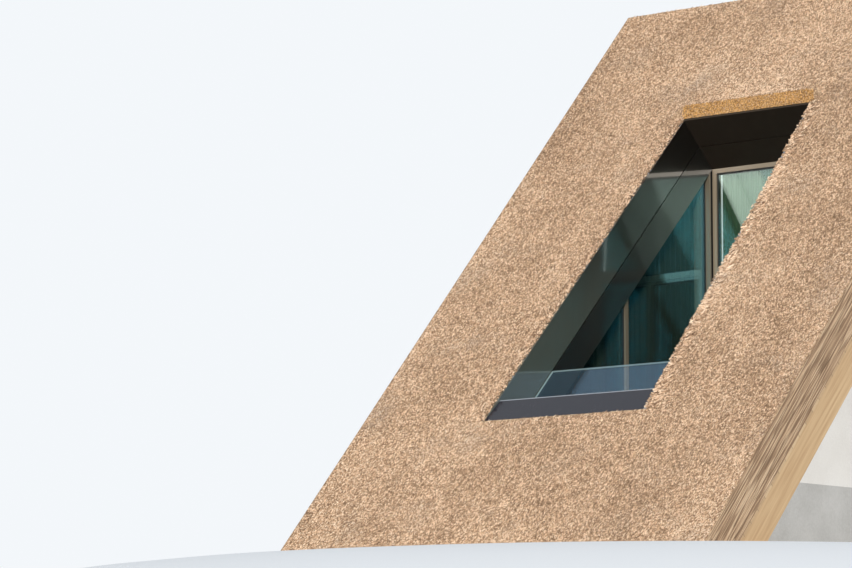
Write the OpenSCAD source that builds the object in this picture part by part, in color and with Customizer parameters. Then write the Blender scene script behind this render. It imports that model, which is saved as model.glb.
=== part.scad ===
// Inset dormer window in one bay of a steep thatched roof: the opening is cut into the
// slope, lined with dark metal panels and closed by a glass balustrade, and an upright
// window with glazed cheeks stands at its inner edge, above a terrace floor.
//
// Slope directions used throughout: s runs up the slope from the foot of the opening,
// n runs into the roof, square to the slope, from the face of the lining.

/* [Roof] */
// Pitch of the roof, in degrees
roof_pitch = 47.3; // [43:0.1:50]
// Width of the bay, between the faces of the party walls
bay_w = 4450; // [3900:10:5400]
// Thickness of the thatch, square to the slope
thatch_t = 310; // [260:5:360]
// Thickness of the roof boarding
board_t = 25; // [18:1:30]
// Depth of the rafters, square to the slope
rafter_h = 240; // [200:5:280]
// Width of one rafter
rafter_w = 80; // [60:5:100]
// Height that the thatch stands proud over the head of the opening
lip_rise = 80; // [40:5:110]
// Length up the slope over which that rise dies away
lip_run = 1300; // [900:50:1600]
// Width beside the opening over which that rise dies away
lip_fade = 220; // [150:10:300]

/* [Opening] */
// Length of the opening up the slope
open_len = 3915; // [3500:5:4500]
// Width of the opening at its head
open_top_w = 1360; // [1200:10:1500]
// Width of the opening at its foot
open_foot_w = 1660; // [1560:10:1900]
// Height of the foot of the opening over the room floor
foot_rise = 610; // [500:10:700]

/* [Lining] */
// Thickness of a lining cassette
lining_t = 30; // [20:1:40]
// Width of the shadow gap between the outer and the inner cassettes
joint_w = 8; // [4:1:12]
// Length of the kerb's face up the slope
kerb_len = 275; // [240:5:320]
// Depth of the kerb's upper edge below the face of the lining
kerb_drop = 20; // [8:1:40]
// Thickness of the kerb's folded sheet
sheet_t = 4; // [2:0.5:6]
// Width of the packing between the lining's foot and the trimming rafter
packing_w = 80; // [70:5:120]

/* [Balustrade] */
// Thickness of the balustrade's glass
rail_glass_t = 17; // [13:1:21]
// Distance of the glass's upper edge from the foot of the opening, up the slope
rail_top = 943; // [800:1:1100]
// Depth of the clamp channel that holds the glass
channel_h = 110; // [90:5:130]
// Wall of the clamp channel
channel_wall = 18; // [12:1:20]
// Clearance between the glass and the side linings
rail_side_gap = 9; // [5:1:12]

/* [Windows] */
// Width of the face of a window frame
frame_w = 40; // [34:1:60]
// Depth of the front window's frame
frame_d = 80; // [70:1:90]
// Height of the transom over the doors
transom_h = 40; // [36:1:110]
// Distance of the transom's top below the head
transom_drop = 897; // [700:1:1000]
// Width of a door leaf's stiles and rails
leaf_w = 38; // [34:1:80]
// Depth of a cheek's frame
cheek_d = 65; // [55:1:75]
// Width of a cheek's mullion
mullion_w = 42; // [36:1:50]
// Distance of the mullion in front of the front window
mullion_lead = 1165; // [1000:5:1300]
// Thickness of a sealed glazing unit
pane_t = 28; // [24:1:36]
// Depth of the front panes behind the face of their frame
pane_setback = 16; // [10:1:24]
// Clearance of a pane in its frame
pane_gap = 3; // [2:0.5:5]
// Clearance round a door leaf in its frame
leaf_gap = 4; // [3:0.5:6]
// Thickness of the stop that the door leaves close against
stop_t = 8; // [6:1:12]
// Width of that stop
stop_w = 14; // [10:1:20]
// Distance of the corner caps' faces in front of the front window
corner_lead = 45; // [35:1:60]
// Thickness of a corner cap
corner_cap = 16; // [10:1:24]
// Reach of the corner posts behind the opening's sides
post_reach = 190; // [170:5:220]

/* [Floor and walls] */
// Thickness of the storey floor under the room boards
floor_t = 550; // [400:10:650]
// Thickness of the room boards
room_board_t = 40; // [20:5:50]
// Thickness of the terrace boards
terrace_board_t = 25; // [20:1:30]
// Thickness of a party wall
party_t = 200; // [150:10:300]
// Depth of the room behind the front window
room_d = 800; // [700:10:1100]

/* [Curtains] */
// Thickness of a curtain's folds
curtain_t = 56; // [40:2:70]
// Height of a curtain rail
track_h = 22; // [16:1:30]
// Width of a curtain rail
track_w = 20; // [16:1:24]
// Distance of a cheek's curtain from the face of the lining
curtain_off = 190; // [170:5:220]
// Stand-off of the level rail from the front window's frame
track_stand = 30; // [25:1:50]
// Drop of the level rail below the window's head
track_drop = 10; // [5:1:20]
// Clearance between a curtain and its rail
curtain_gap = 0.3; // [0.2:0.1:1]
// Clearance between a curtain's hem and the floor
hem_gap = 15; // [10:1:30]
// Clearance at a curtain's side edges
curtain_side_gap = 20; // [10:1:30]

/* [Hidden] */
$fn = 48;

// Depths into the roof, from the face of the lining
deck_n = thatch_t + board_t;
roof_n = deck_n + rafter_h;

// The sides of the opening lean inwards as they go up
taper = atan((open_foot_w - open_top_w) / 2 / open_len);
function half_w(s) = open_foot_w / 2 - s * tan(taper);
function side_x(s, off) = half_w(s) + off / cos(taper);

// Levels, from the underside of the storey floor
slab_z = floor_t;
floor_z = floor_t + room_board_t;
foot_z = floor_z + foot_rise;
inset_y = open_len * cos(roof_pitch) + roof_n * sin(roof_pitch);
front_y = -foot_z / tan(roof_pitch);
back_y = inset_y + room_d;
foot_y = -(front_y + back_y) / 2;
window_y = foot_y + inset_y;
head_z = foot_z + open_len * sin(roof_pitch) - roof_n * cos(roof_pitch);
rear_y = foot_y + back_y;
function rake_z(y, n) = foot_z + (y - foot_y) * tan(roof_pitch) - n / cos(roof_pitch);
function rake_y(z, n) = foot_y + (z - foot_z + n / cos(roof_pitch)) / tan(roof_pitch);
function slope_y(s, n) = foot_y + s * cos(roof_pitch) + n * sin(roof_pitch);
function slope_at(y, n) = (y - foot_y - n * sin(roof_pitch)) / cos(roof_pitch);
knee_y = slope_y(kerb_len, roof_n);

// Half width between the cheeks, whose planes stand plumb under the inner edges of the lining
splay = atan(tan(taper) / cos(roof_pitch));
function cheek_x(y, off) = half_w(slope_at(y, roof_n)) + off / cos(splay);

// Rafters
trimmer_x = open_foot_w / 2 + lining_t + packing_w;
end_rafter_x = bay_w / 2 - rafter_w;
mid_rafter_x = (trimmer_x + end_rafter_x) / 2;
jack_x = 300;
head_trimmer_s = open_len + lining_t;
foot_trimmer_s = kerb_len - lining_t - rafter_w;
purlin_w = 120;
purlin_h = 200;
purlin_bearing = 100;
purlin_setback = 60;
purlin_s = slope_at(rear_y - purlin_setback, roof_n + purlin_h) - purlin_w;
roof_reach = 8000;
// Overcut of an opening past the faces it pierces
cut = 1;

// Balustrade
rail_proud = 6;
rail_n = thatch_t - rail_proud;
channel_n = rail_n - channel_wall;
channel_end_n = rail_n + rail_glass_t + channel_wall;
channel_base = 14;

// Corner posts and cheeks; the raking rail stands back by a shadow behind the lining
post_inset = 12;
rake_shadow = 4;
cheek_rear_y = window_y - corner_lead;
mullion_y = window_y - mullion_lead;
light_n = roof_n + rake_shadow;

// Curtains and their rails
rail_start_y = knee_y + 100;
curtain_start_y = rail_start_y + 2 * curtain_side_gap;
front_track_y = window_y + frame_d + track_stand;
front_track_z = head_z - track_drop - track_h;

// Places its children in the slope's own axes: x across, y up the slope, z out of it
module on_slope() {
    translate([0, foot_y, foot_z])
        rotate([roof_pitch, 0, 0])
            children();
}

// Draws a left-hand piece as it is, or mirrored for the right hand
module on_hand(hand) {
    mirror([hand == "right" ? 1 : 0, 0, 0])
        children();
}

// A prism square to the slope, with its outline given as [x, s] points
module plan_prism(points, n0, n1) {
    on_slope()
        translate([0, 0, -n1])
            linear_extrude(n1 - n0)
                polygon(points);
}

// A prism across the slope, with its outline given as [s, n] points
module section_prism(points, half) {
    on_slope()
        translate([-half, 0, 0])
            rotate([90, 0, 90])
                linear_extrude(2 * half)
                    polygon([for (p = points) [p[0], -p[1]]]);
}

// A prism across the bay, with its outline given as upright [y, z] points
module upright_prism(points, x0, x1) {
    translate([x0, 0, 0])
        rotate([90, 0, 90])
            linear_extrude(x1 - x0)
                polygon(points);
}

// Keeps what lies inside the bay, over the floor's underside and before the rear line
module in_bay() {
    intersection() {
        children();
        translate([-bay_w / 2, foot_y + front_y - roof_n, 0])
            cube([bay_w, rear_y - foot_y - front_y + roof_n, 2 * head_z]);
    }
}

// A strip beside the opening on the left, between two distances from the lining's face
module side_strip(s0, s1, off0, off1, n0, n1) {
    plan_prism([
        [-side_x(s0, off0), s0], [-side_x(s1, off0), s1],
        [-side_x(s1, off1), s1], [-side_x(s0, off1), s0]
    ], n0, n1);
}

// One rafter or trimmer, with x0 its left face
module rafter(x0, s0, s1) {
    plan_prism([[x0, s0], [x0 + rafter_w, s0], [x0 + rafter_w, s1], [x0, s1]], deck_n, roof_n);
}

// Storey floor, with its front edge against the rafters' undersides
module floor_slab() {
    color("gainsboro")
        upright_prism([
            [rake_y(0, roof_n), 0], [rear_y, 0], [rear_y, slab_z], [rake_y(slab_z, roof_n), slab_z]
        ], -bay_w / 2, bay_w / 2);
}

// Room boards in three fields round the terrace
module room_floor() {
    wall_x = bay_w / 2 - party_t;
    knee_x = cheek_x(knee_y, lining_t + cheek_d) + joint_w;
    start_y = rake_y(floor_z, roof_n) + joint_w;
    color("burlywood") {
        for (hand = ["left", "right"])
            on_hand(hand)
                translate([0, 0, slab_z])
                    linear_extrude(room_board_t)
                        polygon([
                            [-wall_x, start_y], [-knee_x, start_y], [-knee_x, knee_y],
                            [-cheek_x(knee_y, lining_t), knee_y],
                            [-cheek_x(window_y, lining_t), window_y], [-wall_x, window_y]
                        ]);
        translate([-wall_x, window_y + joint_w / 2, slab_z])
            cube([2 * wall_x, rear_y - window_y - joint_w / 2, room_board_t]);
    }
}

// Terrace boards between the cheeks
module terrace_deck() {
    drain = 6;
    color("tan")
        translate([0, 0, slab_z])
            linear_extrude(terrace_board_t)
                polygon([
                    [-cheek_x(knee_y, lining_t - drain), knee_y + drain],
                    [cheek_x(knee_y, lining_t - drain), knee_y + drain],
                    [cheek_x(window_y, lining_t - drain), window_y],
                    [-cheek_x(window_y, lining_t - drain), window_y]
                ]);
}

// Party wall under the end rafter, with a pocket for the purlin
module party_wall(hand) {
    color("whitesmoke")
        on_hand(hand)
            difference() {
                upright_prism([
                    [rake_y(slab_z, roof_n), slab_z], [rear_y, slab_z], [rear_y, rake_z(rear_y, roof_n)]
                ], -bay_w / 2, party_t - bay_w / 2);
                purlin_bar();
            }
}

// Low wall under the kerb, closing the terrace towards the rafters
module knee_wall() {
    reach = cheek_x(knee_y, lining_t + cheek_d);
    color("dimgray")
        upright_prism([
            [rake_y(slab_z, roof_n), slab_z], [knee_y, slab_z], [knee_y, rake_z(knee_y, roof_n)]
        ], -reach, reach);
}

// Rafters: two each side that run the whole slope, and short ones over and under the opening
module rafters() {
    color("peru")
        in_bay() {
            for (hand = ["left", "right"], x = [mid_rafter_x, end_rafter_x])
                on_hand(hand)
                    rafter(-x - rafter_w, -roof_reach, roof_reach);
            for (x = [-jack_x, jack_x]) {
                rafter(x - rafter_w / 2, -roof_reach, foot_trimmer_s);
                rafter(x - rafter_w / 2, head_trimmer_s + rafter_w, roof_reach);
            }
        }
}

// Trimming rafters beside the opening
module trimmers() {
    color("sienna")
        in_bay()
            for (hand = ["left", "right"])
                on_hand(hand)
                    rafter(-trimmer_x - rafter_w, -roof_reach, roof_reach);
}

// Cross timber at a place up the slope, between the trimming rafters
module cross_trimmer(s0, n0) {
    plan_prism([
        [-trimmer_x, s0], [trimmer_x, s0], [trimmer_x, s0 + rafter_w], [-trimmer_x, s0 + rafter_w]
    ], n0, roof_n);
}

// Head and foot trimmers of the opening
module cross_trimmers() {
    color("sienna") {
        cross_trimmer(head_trimmer_s, deck_n);
        cross_trimmer(foot_trimmer_s, channel_end_n);
    }
}

// Purlin bar, from one wall pocket to the other
module purlin_bar() {
    reach = bay_w / 2 - party_t + purlin_bearing;
    plan_prism([
        [-reach, purlin_s], [reach, purlin_s], [reach, purlin_s + purlin_w], [-reach, purlin_s + purlin_w]
    ], roof_n, roof_n + purlin_h);
}

module purlin() {
    color("sienna")
        purlin_bar();
}

// Outline of the roof beside the opening on the left
function beside_outline() = [
    [-bay_w / 2, 0], [-side_x(0, lining_t), 0],
    [-side_x(open_len + lining_t, lining_t), open_len + lining_t], [-bay_w / 2, open_len + lining_t]
];

// Outline of the roof above or below the opening, over the whole bay
function across_outline(s0, s1) = [[-bay_w / 2, s0], [bay_w / 2, s0], [bay_w / 2, s1], [-bay_w / 2, s1]];

module deck_beside(hand) {
    color("wheat")
        on_hand(hand)
            plan_prism(beside_outline(), thatch_t, deck_n);
}

module deck_top() {
    color("wheat")
        in_bay()
            plan_prism(across_outline(open_len + lining_t, roof_reach), thatch_t, deck_n);
}

module deck_bottom() {
    color("wheat")
        in_bay()
            plan_prism(across_outline(-roof_reach, 0), thatch_t, deck_n);
}

module thatch_beside(hand) {
    color("darkkhaki")
        on_hand(hand)
            plan_prism(beside_outline(), 0, thatch_t);
}

module thatch_bottom() {
    color("darkkhaki")
        in_bay()
            plan_prism(across_outline(-roof_reach, 0), 0, thatch_t);
}

// Share of the lip's rise at a place across the bay, full over the opening
function lip_share(x) =
    let (over = (abs(x) - open_top_w / 2) / lip_fade)
    over <= 0 ? 1 : over >= 1 ? 0 : (1 + cos(180 * over)) / 2;

// Thatch above the opening: its lower face is cut plumb over the head, and the coat
// swells there and dies away up the slope
lip_steps = 12;
lip_columns = 6;
lip_root = 1;
lip_start = open_len + lining_t;
lip_places = concat(
    [-bay_w / 2 - cut],
    [for (i = [0 : lip_columns]) -open_top_w / 2 - lip_fade * (1 - i / lip_columns)],
    [for (i = [0 : lip_columns]) open_top_w / 2 + lip_fade * i / lip_columns],
    [bay_w / 2 + cut]
);
function lip_profile(x) =
    let (rise = lip_rise * lip_share(x), first = lip_start + rise * tan(roof_pitch))
    concat(
        [[x, lip_start, -thatch_t], [x, lip_start, -lip_root]],
        [for (i = [0 : lip_steps])
            let (t = i / lip_steps)
            [x, first + (lip_start + lip_run - first) * t, rise * (1 - t) * (1 - t)]],
        [[x, roof_reach, 0], [x, roof_reach, -thatch_t]]
    );

// Skin through a row of like outlines; each end is closed by a fan from its last point
module skin(rings) {
    count = len(rings);
    size = len(rings[0]);
    last = (count - 1) * size;
    sides = [
        for (i = [0 : count - 2], j = [0 : size - 1])
            let (k = (j + 1) % size, a = i * size, b = (i + 1) * size)
            each [[a + j, a + k, b + k], [a + j, b + k, b + j]]
    ];
    ends = [
        for (j = [0 : size - 3])
            each [[size - 1, j + 1, j], [last + size - 1, last + j, last + j + 1]]
    ];
    polyhedron([for (ring = rings) each ring], concat(sides, ends), convexity = 4);
}

module thatch_top() {
    color("goldenrod")
        in_bay()
            on_slope()
                skin([for (x = lip_places) lip_profile(x)]);
}

// Timber packing between the side linings and the trimming rafters
module packing() {
    s0 = kerb_len - lining_t;
    s1 = open_len + lining_t;
    core = lining_t + cheek_d + joint_w;
    color("rosybrown")
        for (hand = ["left", "right"])
            on_hand(hand) {
                side_strip(s0, s1, lining_t, core, deck_n, roof_n - cheek_d - joint_w);
                plan_prism([
                    [-side_x(s0, core), s0], [-side_x(s1, core), s1], [-trimmer_x, s1], [-trimmer_x, s0]
                ], deck_n, roof_n);
            }
}

// Side cassette of the lining, mitred at the head, and at the foot where it meets the sill
module reveal(hand, s0, foot_mitre, n0, n1) {
    color([0.24, 0.26, 0.25])
        on_hand(hand)
            plan_prism([
                [-half_w(s0), s0], [-half_w(open_len), open_len],
                [-side_x(open_len + lining_t, lining_t), open_len + lining_t],
                [-side_x(s0 - foot_mitre, lining_t), s0 - foot_mitre]
            ], n0, n1);
}

module reveal_outer(hand) {
    reveal(hand, 0, 0, 0, thatch_t - joint_w / 2);
}

module reveal_inner(hand) {
    reveal(hand, kerb_len, lining_t, thatch_t + joint_w / 2, roof_n);
}

// Head cassette of the lining, mitred to the side cassettes
module soffit(n0, n1) {
    color([0.13, 0.11, 0.10])
        plan_prism([
            [-half_w(open_len), open_len], [half_w(open_len), open_len],
            [side_x(open_len + lining_t, lining_t), open_len + lining_t],
            [-side_x(open_len + lining_t, lining_t), open_len + lining_t]
        ], n0, n1);
}

module soffit_outer() {
    soffit(0, thatch_t - joint_w / 2);
}

module soffit_inner() {
    soffit(thatch_t + joint_w / 2, roof_n);
}

// Keeps what lies between the side linings, short of them by a gap
module between_sides(gap) {
    s0 = -lining_t;
    s1 = 2 * rail_top;
    intersection() {
        children();
        plan_prism([
            [gap - half_w(s0), s0], [half_w(s0) - gap, s0], [half_w(s1) - gap, s1], [gap - half_w(s1), s1]
        ], -lining_t, roof_n + lining_t);
    }
}

// Timber core of the kerb
module kerb_core() {
    ledge = kerb_len - channel_h;
    color("rosybrown")
        between_sides(0)
            section_prism([
                [sheet_t, sheet_t], [kerb_len - sheet_t, kerb_drop + sheet_t],
                [kerb_len - sheet_t, channel_n], [ledge, channel_n],
                [ledge, deck_n], [0, deck_n], [0, sheet_t]
            ], open_foot_w);
}

// Folded metal cover of the kerb: its face, its top and a drip at the glass
module kerb_cover() {
    color([0.36, 0.38, 0.46])
        between_sides(1)
            section_prism([
                [0, 0], [kerb_len, kerb_drop], [kerb_len, channel_n], [kerb_len - sheet_t, channel_n],
                [kerb_len - sheet_t, kerb_drop + sheet_t], [sheet_t, sheet_t], [0, sheet_t]
            ], open_foot_w);
}

// Inner sill cassette, between the clamp channel and the knee wall
module sill_inner() {
    low = kerb_len - lining_t;
    color([0.24, 0.26, 0.25])
        plan_prism([
            [-half_w(kerb_len), kerb_len], [half_w(kerb_len), kerb_len],
            [side_x(low, lining_t), low], [-side_x(low, lining_t), low]
        ], channel_end_n, roof_n);
}

// Clamp channel for the balustrade's glass
module balustrade_channel() {
    low = kerb_len - channel_h;
    color("silver")
        between_sides(2)
            section_prism([
                [low, channel_n], [kerb_len, channel_n], [kerb_len, rail_n],
                [low + channel_base, rail_n], [low + channel_base, rail_n + rail_glass_t],
                [kerb_len, rail_n + rail_glass_t], [kerb_len, channel_end_n], [low, channel_end_n]
            ], open_foot_w);
}

// Glass of the balustrade, parallel to the slope, tapered like the opening
module balustrade_glass() {
    low = kerb_len - channel_h + channel_base;
    low_x = half_w(low) - rail_side_gap;
    top_x = half_w(rail_top) - rail_side_gap;
    color([0.6, 0.75, 0.8, 0.4])
        plan_prism([
            [-low_x, low], [low_x, low], [top_x, rail_top], [-top_x, rail_top]
        ], rail_n, rail_n + rail_glass_t);
}

// Wedge over the front window's head, under the sloping ceiling
module head_packer() {
    reach = open_top_w / 2 + post_reach;
    color("dimgray")
        upright_prism([
            [window_y, head_z], [window_y + frame_d, head_z],
            [window_y + frame_d, rake_z(window_y + frame_d, roof_n)]
        ], -reach, reach);
}

// Rectangle in the upright plane of the front window
module front_box(x0, x1, z0, z1, y0, y1) {
    translate([x0, y0, z0])
        cube([x1 - x0, y1 - y0, z1 - z0]);
}

// Fixed frame of the front window with its transom and threshold; a stop runs round the
// door opening, and the leaves close against it
front_x = open_top_w / 2;
transom_z = head_z - transom_drop - transom_h;
door_z = floor_z + frame_w;
module front_frame() {
    light_x = front_x - frame_w;
    color([0.62, 0.53, 0.45])
        difference() {
            front_box(-front_x, front_x, floor_z, head_z, window_y, window_y + frame_d);
            front_box(-light_x, light_x, transom_z + transom_h, head_z - frame_w,
                window_y - cut, window_y + frame_d + cut);
            front_box(-light_x, light_x, door_z, transom_z,
                window_y + stop_t, window_y + frame_d + cut);
            front_box(stop_w - light_x, light_x - stop_w, door_z + stop_w, transom_z - stop_w,
                window_y - cut, window_y + frame_d);
        }
}

// One door leaf, hung in the frame below the transom
leaf_d = frame_d - stop_t;
leaf_y = window_y + stop_t;
leaf_x0 = frame_w - front_x + leaf_gap;
leaf_x1 = -leaf_gap / 2;
leaf_z0 = door_z + leaf_gap;
leaf_z1 = transom_z - leaf_gap;
module door_leaf(hand) {
    color([0.58, 0.50, 0.42])
        on_hand(hand)
            difference() {
                front_box(leaf_x0, leaf_x1, leaf_z0, leaf_z1, leaf_y, leaf_y + leaf_d);
                front_box(leaf_x0 + leaf_w, leaf_x1 - leaf_w, leaf_z0 + leaf_w, leaf_z1 - leaf_w,
                    leaf_y - cut, leaf_y + leaf_d + cut);
            }
}

// Sealed units of the front window: the fanlight and the two leaves
module front_panes() {
    y0 = window_y + pane_setback;
    color([0.55, 0.75, 0.72, 0.4]) {
        front_box(frame_w - front_x + pane_gap, front_x - frame_w - pane_gap,
            transom_z + transom_h, head_z - frame_w - pane_gap, y0, y0 + pane_t);
        for (hand = ["left", "right"])
            on_hand(hand)
                front_box(leaf_x0 + leaf_w + pane_gap, leaf_x1 - leaf_w - pane_gap,
                    leaf_z0 + leaf_w, leaf_z1 - leaf_w - pane_gap, y0, y0 + pane_t);
    }
}

// Plumb corner posts between the front window and the cheeks
module corner_posts() {
    front = cheek_rear_y + corner_cap;
    top_y = window_y + frame_d;
    color([0.10, 0.10, 0.10])
        for (hand = ["left", "right"])
            on_hand(hand)
                upright_prism([
                    [front, floor_z], [top_y, floor_z], [top_y, head_z],
                    [window_y, head_z], [front, rake_z(front, roof_n)]
                ], -front_x - post_reach, -front_x - post_inset);
}

// Frame of a cheek: a cap on the corner post, a mullion, a floor rail, a front stile and a
// raking rail that stays behind the lining
module cheek_frame(hand) {
    front = knee_y;
    rail_n0 = roof_n - cheek_d;
    color([0.62, 0.53, 0.45])
        on_hand(hand) {
            difference() {
                intersection() {
                    cheek_plate(lining_t, lining_t + cheek_d);
                    upright_prism([
                        [front, floor_z], [cheek_rear_y, floor_z],
                        [cheek_rear_y, rake_z(cheek_rear_y, rail_n0)], [front, rake_z(front, rail_n0)]
                    ], -bay_w / 2, 0);
                }
                cheek_light(front + frame_w, mullion_y - mullion_w / 2, light_n);
                cheek_light(mullion_y + mullion_w / 2, cheek_rear_y, light_n);
            }
            upright_prism([
                [cheek_rear_y, floor_z], [cheek_rear_y + corner_cap, floor_z],
                [cheek_rear_y + corner_cap, rake_z(cheek_rear_y + corner_cap, roof_n)],
                [cheek_rear_y, rake_z(cheek_rear_y, roof_n)]
            ], -front_x - post_reach, -front_x);
        }
}

// Plumb plate along a cheek's plane, between two distances from it
module cheek_plate(off0, off1) {
    linear_extrude(2 * head_z)
        polygon([
            [-cheek_x(knee_y, off0), knee_y], [-cheek_x(window_y, off0), window_y],
            [-cheek_x(window_y, off1), window_y], [-cheek_x(knee_y, off1), knee_y]
        ]);
}

// Clear light of a cheek between two places, under the raking rail
module cheek_light(y0, y1, n) {
    z0 = floor_z + frame_w;
    upright_prism([[y0, z0], [y1, z0], [y1, rake_z(y1, n)], [y0, rake_z(y0, n)]], -bay_w / 2, 0);
}

// Sealed units of a cheek, in front of and behind the mullion
module cheek_panes(hand) {
    off = lining_t + (cheek_d - pane_t) / 2;
    lights = [
        [knee_y + frame_w + pane_gap, mullion_y - mullion_w / 2 - pane_gap],
        [mullion_y + mullion_w / 2 + pane_gap, cheek_rear_y - pane_gap]
    ];
    color([0.45, 0.70, 0.66, 0.4])
        on_hand(hand)
            intersection() {
                cheek_plate(off, off + pane_t);
                for (light = lights)
                    cheek_light(light[0], light[1], light_n + pane_gap);
            }
}

// Curtain rails: one rakes along each cheek, one runs level over the doors
module curtain_rails() {
    s0 = slope_at(rail_start_y, roof_n);
    s1 = slope_at(cheek_rear_y - joint_w, roof_n + track_h);
    color("gray") {
        for (hand = ["left", "right"])
            on_hand(hand)
                side_strip(s0, s1, curtain_off - track_w / 2, curtain_off + track_w / 2,
                    roof_n, roof_n + track_h);
        translate([0, 0, front_track_z]) {
            front_box(-front_x, front_x, 0, track_h, front_track_y, front_track_y + track_w);
            for (x = [-front_x + frame_w, -track_w / 2, front_x - frame_w - track_w])
                front_box(x, x + track_w, 0, track_h, window_y + frame_d, front_track_y);
        }
    }
}

// Curtain along a cheek, hanging from its raking rail
module cheek_curtain(hand) {
    y0 = curtain_start_y;
    y1 = cheek_rear_y - curtain_side_gap;
    z0 = floor_z + hem_gap;
    top_n = roof_n + track_h + curtain_gap;
    color("seagreen")
        on_hand(hand)
            intersection() {
                cheek_plate(curtain_off - curtain_t / 2, curtain_off + curtain_t / 2);
                upright_prism([
                    [y0, z0], [y1, z0], [y1, rake_z(y1, top_n)], [y0, rake_z(y0, top_n)]
                ], -bay_w / 2, 0);
            }
}

// Curtain over one door leaf, hanging from the level rail
module front_curtain(hand) {
    y0 = front_track_y + track_w - curtain_t / 2;
    edge = curtain_side_gap / 2;
    color("seagreen")
        on_hand(hand)
            front_box(edge - front_x, -edge, floor_z + hem_gap, front_track_z - curtain_gap,
                y0, y0 + curtain_t);
}

floor_slab();
room_floor();
terrace_deck();
party_wall("left");  // party_wall_left
party_wall("right");  // party_wall_right
knee_wall();
rafters();
trimmers();
cross_trimmers();
purlin();
deck_beside("left");  // deck_left
deck_beside("right");  // deck_right
deck_top();
deck_bottom();
thatch_beside("left");  // thatch_left
thatch_beside("right");  // thatch_right
thatch_top();
thatch_bottom();
packing();
reveal_outer("left");  // reveal_outer_left
reveal_outer("right");  // reveal_outer_right
reveal_inner("left");  // reveal_inner_left
reveal_inner("right");  // reveal_inner_right
soffit_outer();
soffit_inner();
kerb_core();
kerb_cover();
sill_inner();
balustrade_channel();
balustrade_glass();
head_packer();
front_frame();
door_leaf("left");  // door_leaf_left
door_leaf("right");  // door_leaf_right
front_panes();
corner_posts();
cheek_frame("left");  // cheek_frame_left
cheek_frame("right");  // cheek_frame_right
cheek_panes("left");  // cheek_panes_left
cheek_panes("right");  // cheek_panes_right
curtain_rails();
cheek_curtain("left");  // curtain_left
cheek_curtain("right");  // curtain_right
front_curtain("left");  // curtain_front_left
front_curtain("right");  // curtain_front_right
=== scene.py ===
"""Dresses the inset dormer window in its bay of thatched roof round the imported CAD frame.

Every place is in metres in the part's own frame: X to the right along the eaves, Y from the
eaves into the building, Z up. Slope directions are s, up the slope from the foot of the
opening, and n, into the roof and square to the slope, from the face of the lining.
"""
import logging
import math
from dataclasses import dataclass
from enum import Enum
from typing import Callable, Optional, Sequence, Union

import bmesh
import bpy
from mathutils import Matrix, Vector


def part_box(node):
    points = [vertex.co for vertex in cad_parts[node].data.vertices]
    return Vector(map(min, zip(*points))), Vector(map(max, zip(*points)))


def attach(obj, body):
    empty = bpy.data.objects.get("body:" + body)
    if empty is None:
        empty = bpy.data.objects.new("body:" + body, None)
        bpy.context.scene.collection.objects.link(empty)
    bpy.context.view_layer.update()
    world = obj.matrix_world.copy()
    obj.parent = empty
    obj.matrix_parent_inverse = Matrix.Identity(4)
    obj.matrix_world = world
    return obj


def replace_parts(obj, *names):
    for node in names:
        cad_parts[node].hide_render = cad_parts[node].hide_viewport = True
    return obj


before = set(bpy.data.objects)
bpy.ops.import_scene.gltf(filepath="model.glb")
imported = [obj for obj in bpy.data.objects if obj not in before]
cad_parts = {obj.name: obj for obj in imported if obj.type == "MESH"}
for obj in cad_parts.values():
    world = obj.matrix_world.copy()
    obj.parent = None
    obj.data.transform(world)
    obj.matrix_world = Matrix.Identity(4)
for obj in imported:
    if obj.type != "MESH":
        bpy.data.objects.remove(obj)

LOG = logging.getLogger("dormer")
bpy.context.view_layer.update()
ROOT = "root"
MM = 0.001
TONE = "reed_tone"
CLOTH_MAP = "cloth"
CLOTH_RUN = "cloth_run"
CLOTH_DROP = "cloth_drop"

Colour = tuple[float, float, float]
Triple = tuple[float, float, float]
Point2 = tuple[float, float]
Key = Union[str, int]
Filler = Callable[[bmesh.types.BMesh], None]


class Side(Enum):
    """A side of the bay, with the sign of its X."""

    LEFT = -1
    RIGHT = 1

    @property
    def hand(self) -> str:
        """The side's word in the names of pieces."""
        return self.name.lower()


# Sizes


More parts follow.
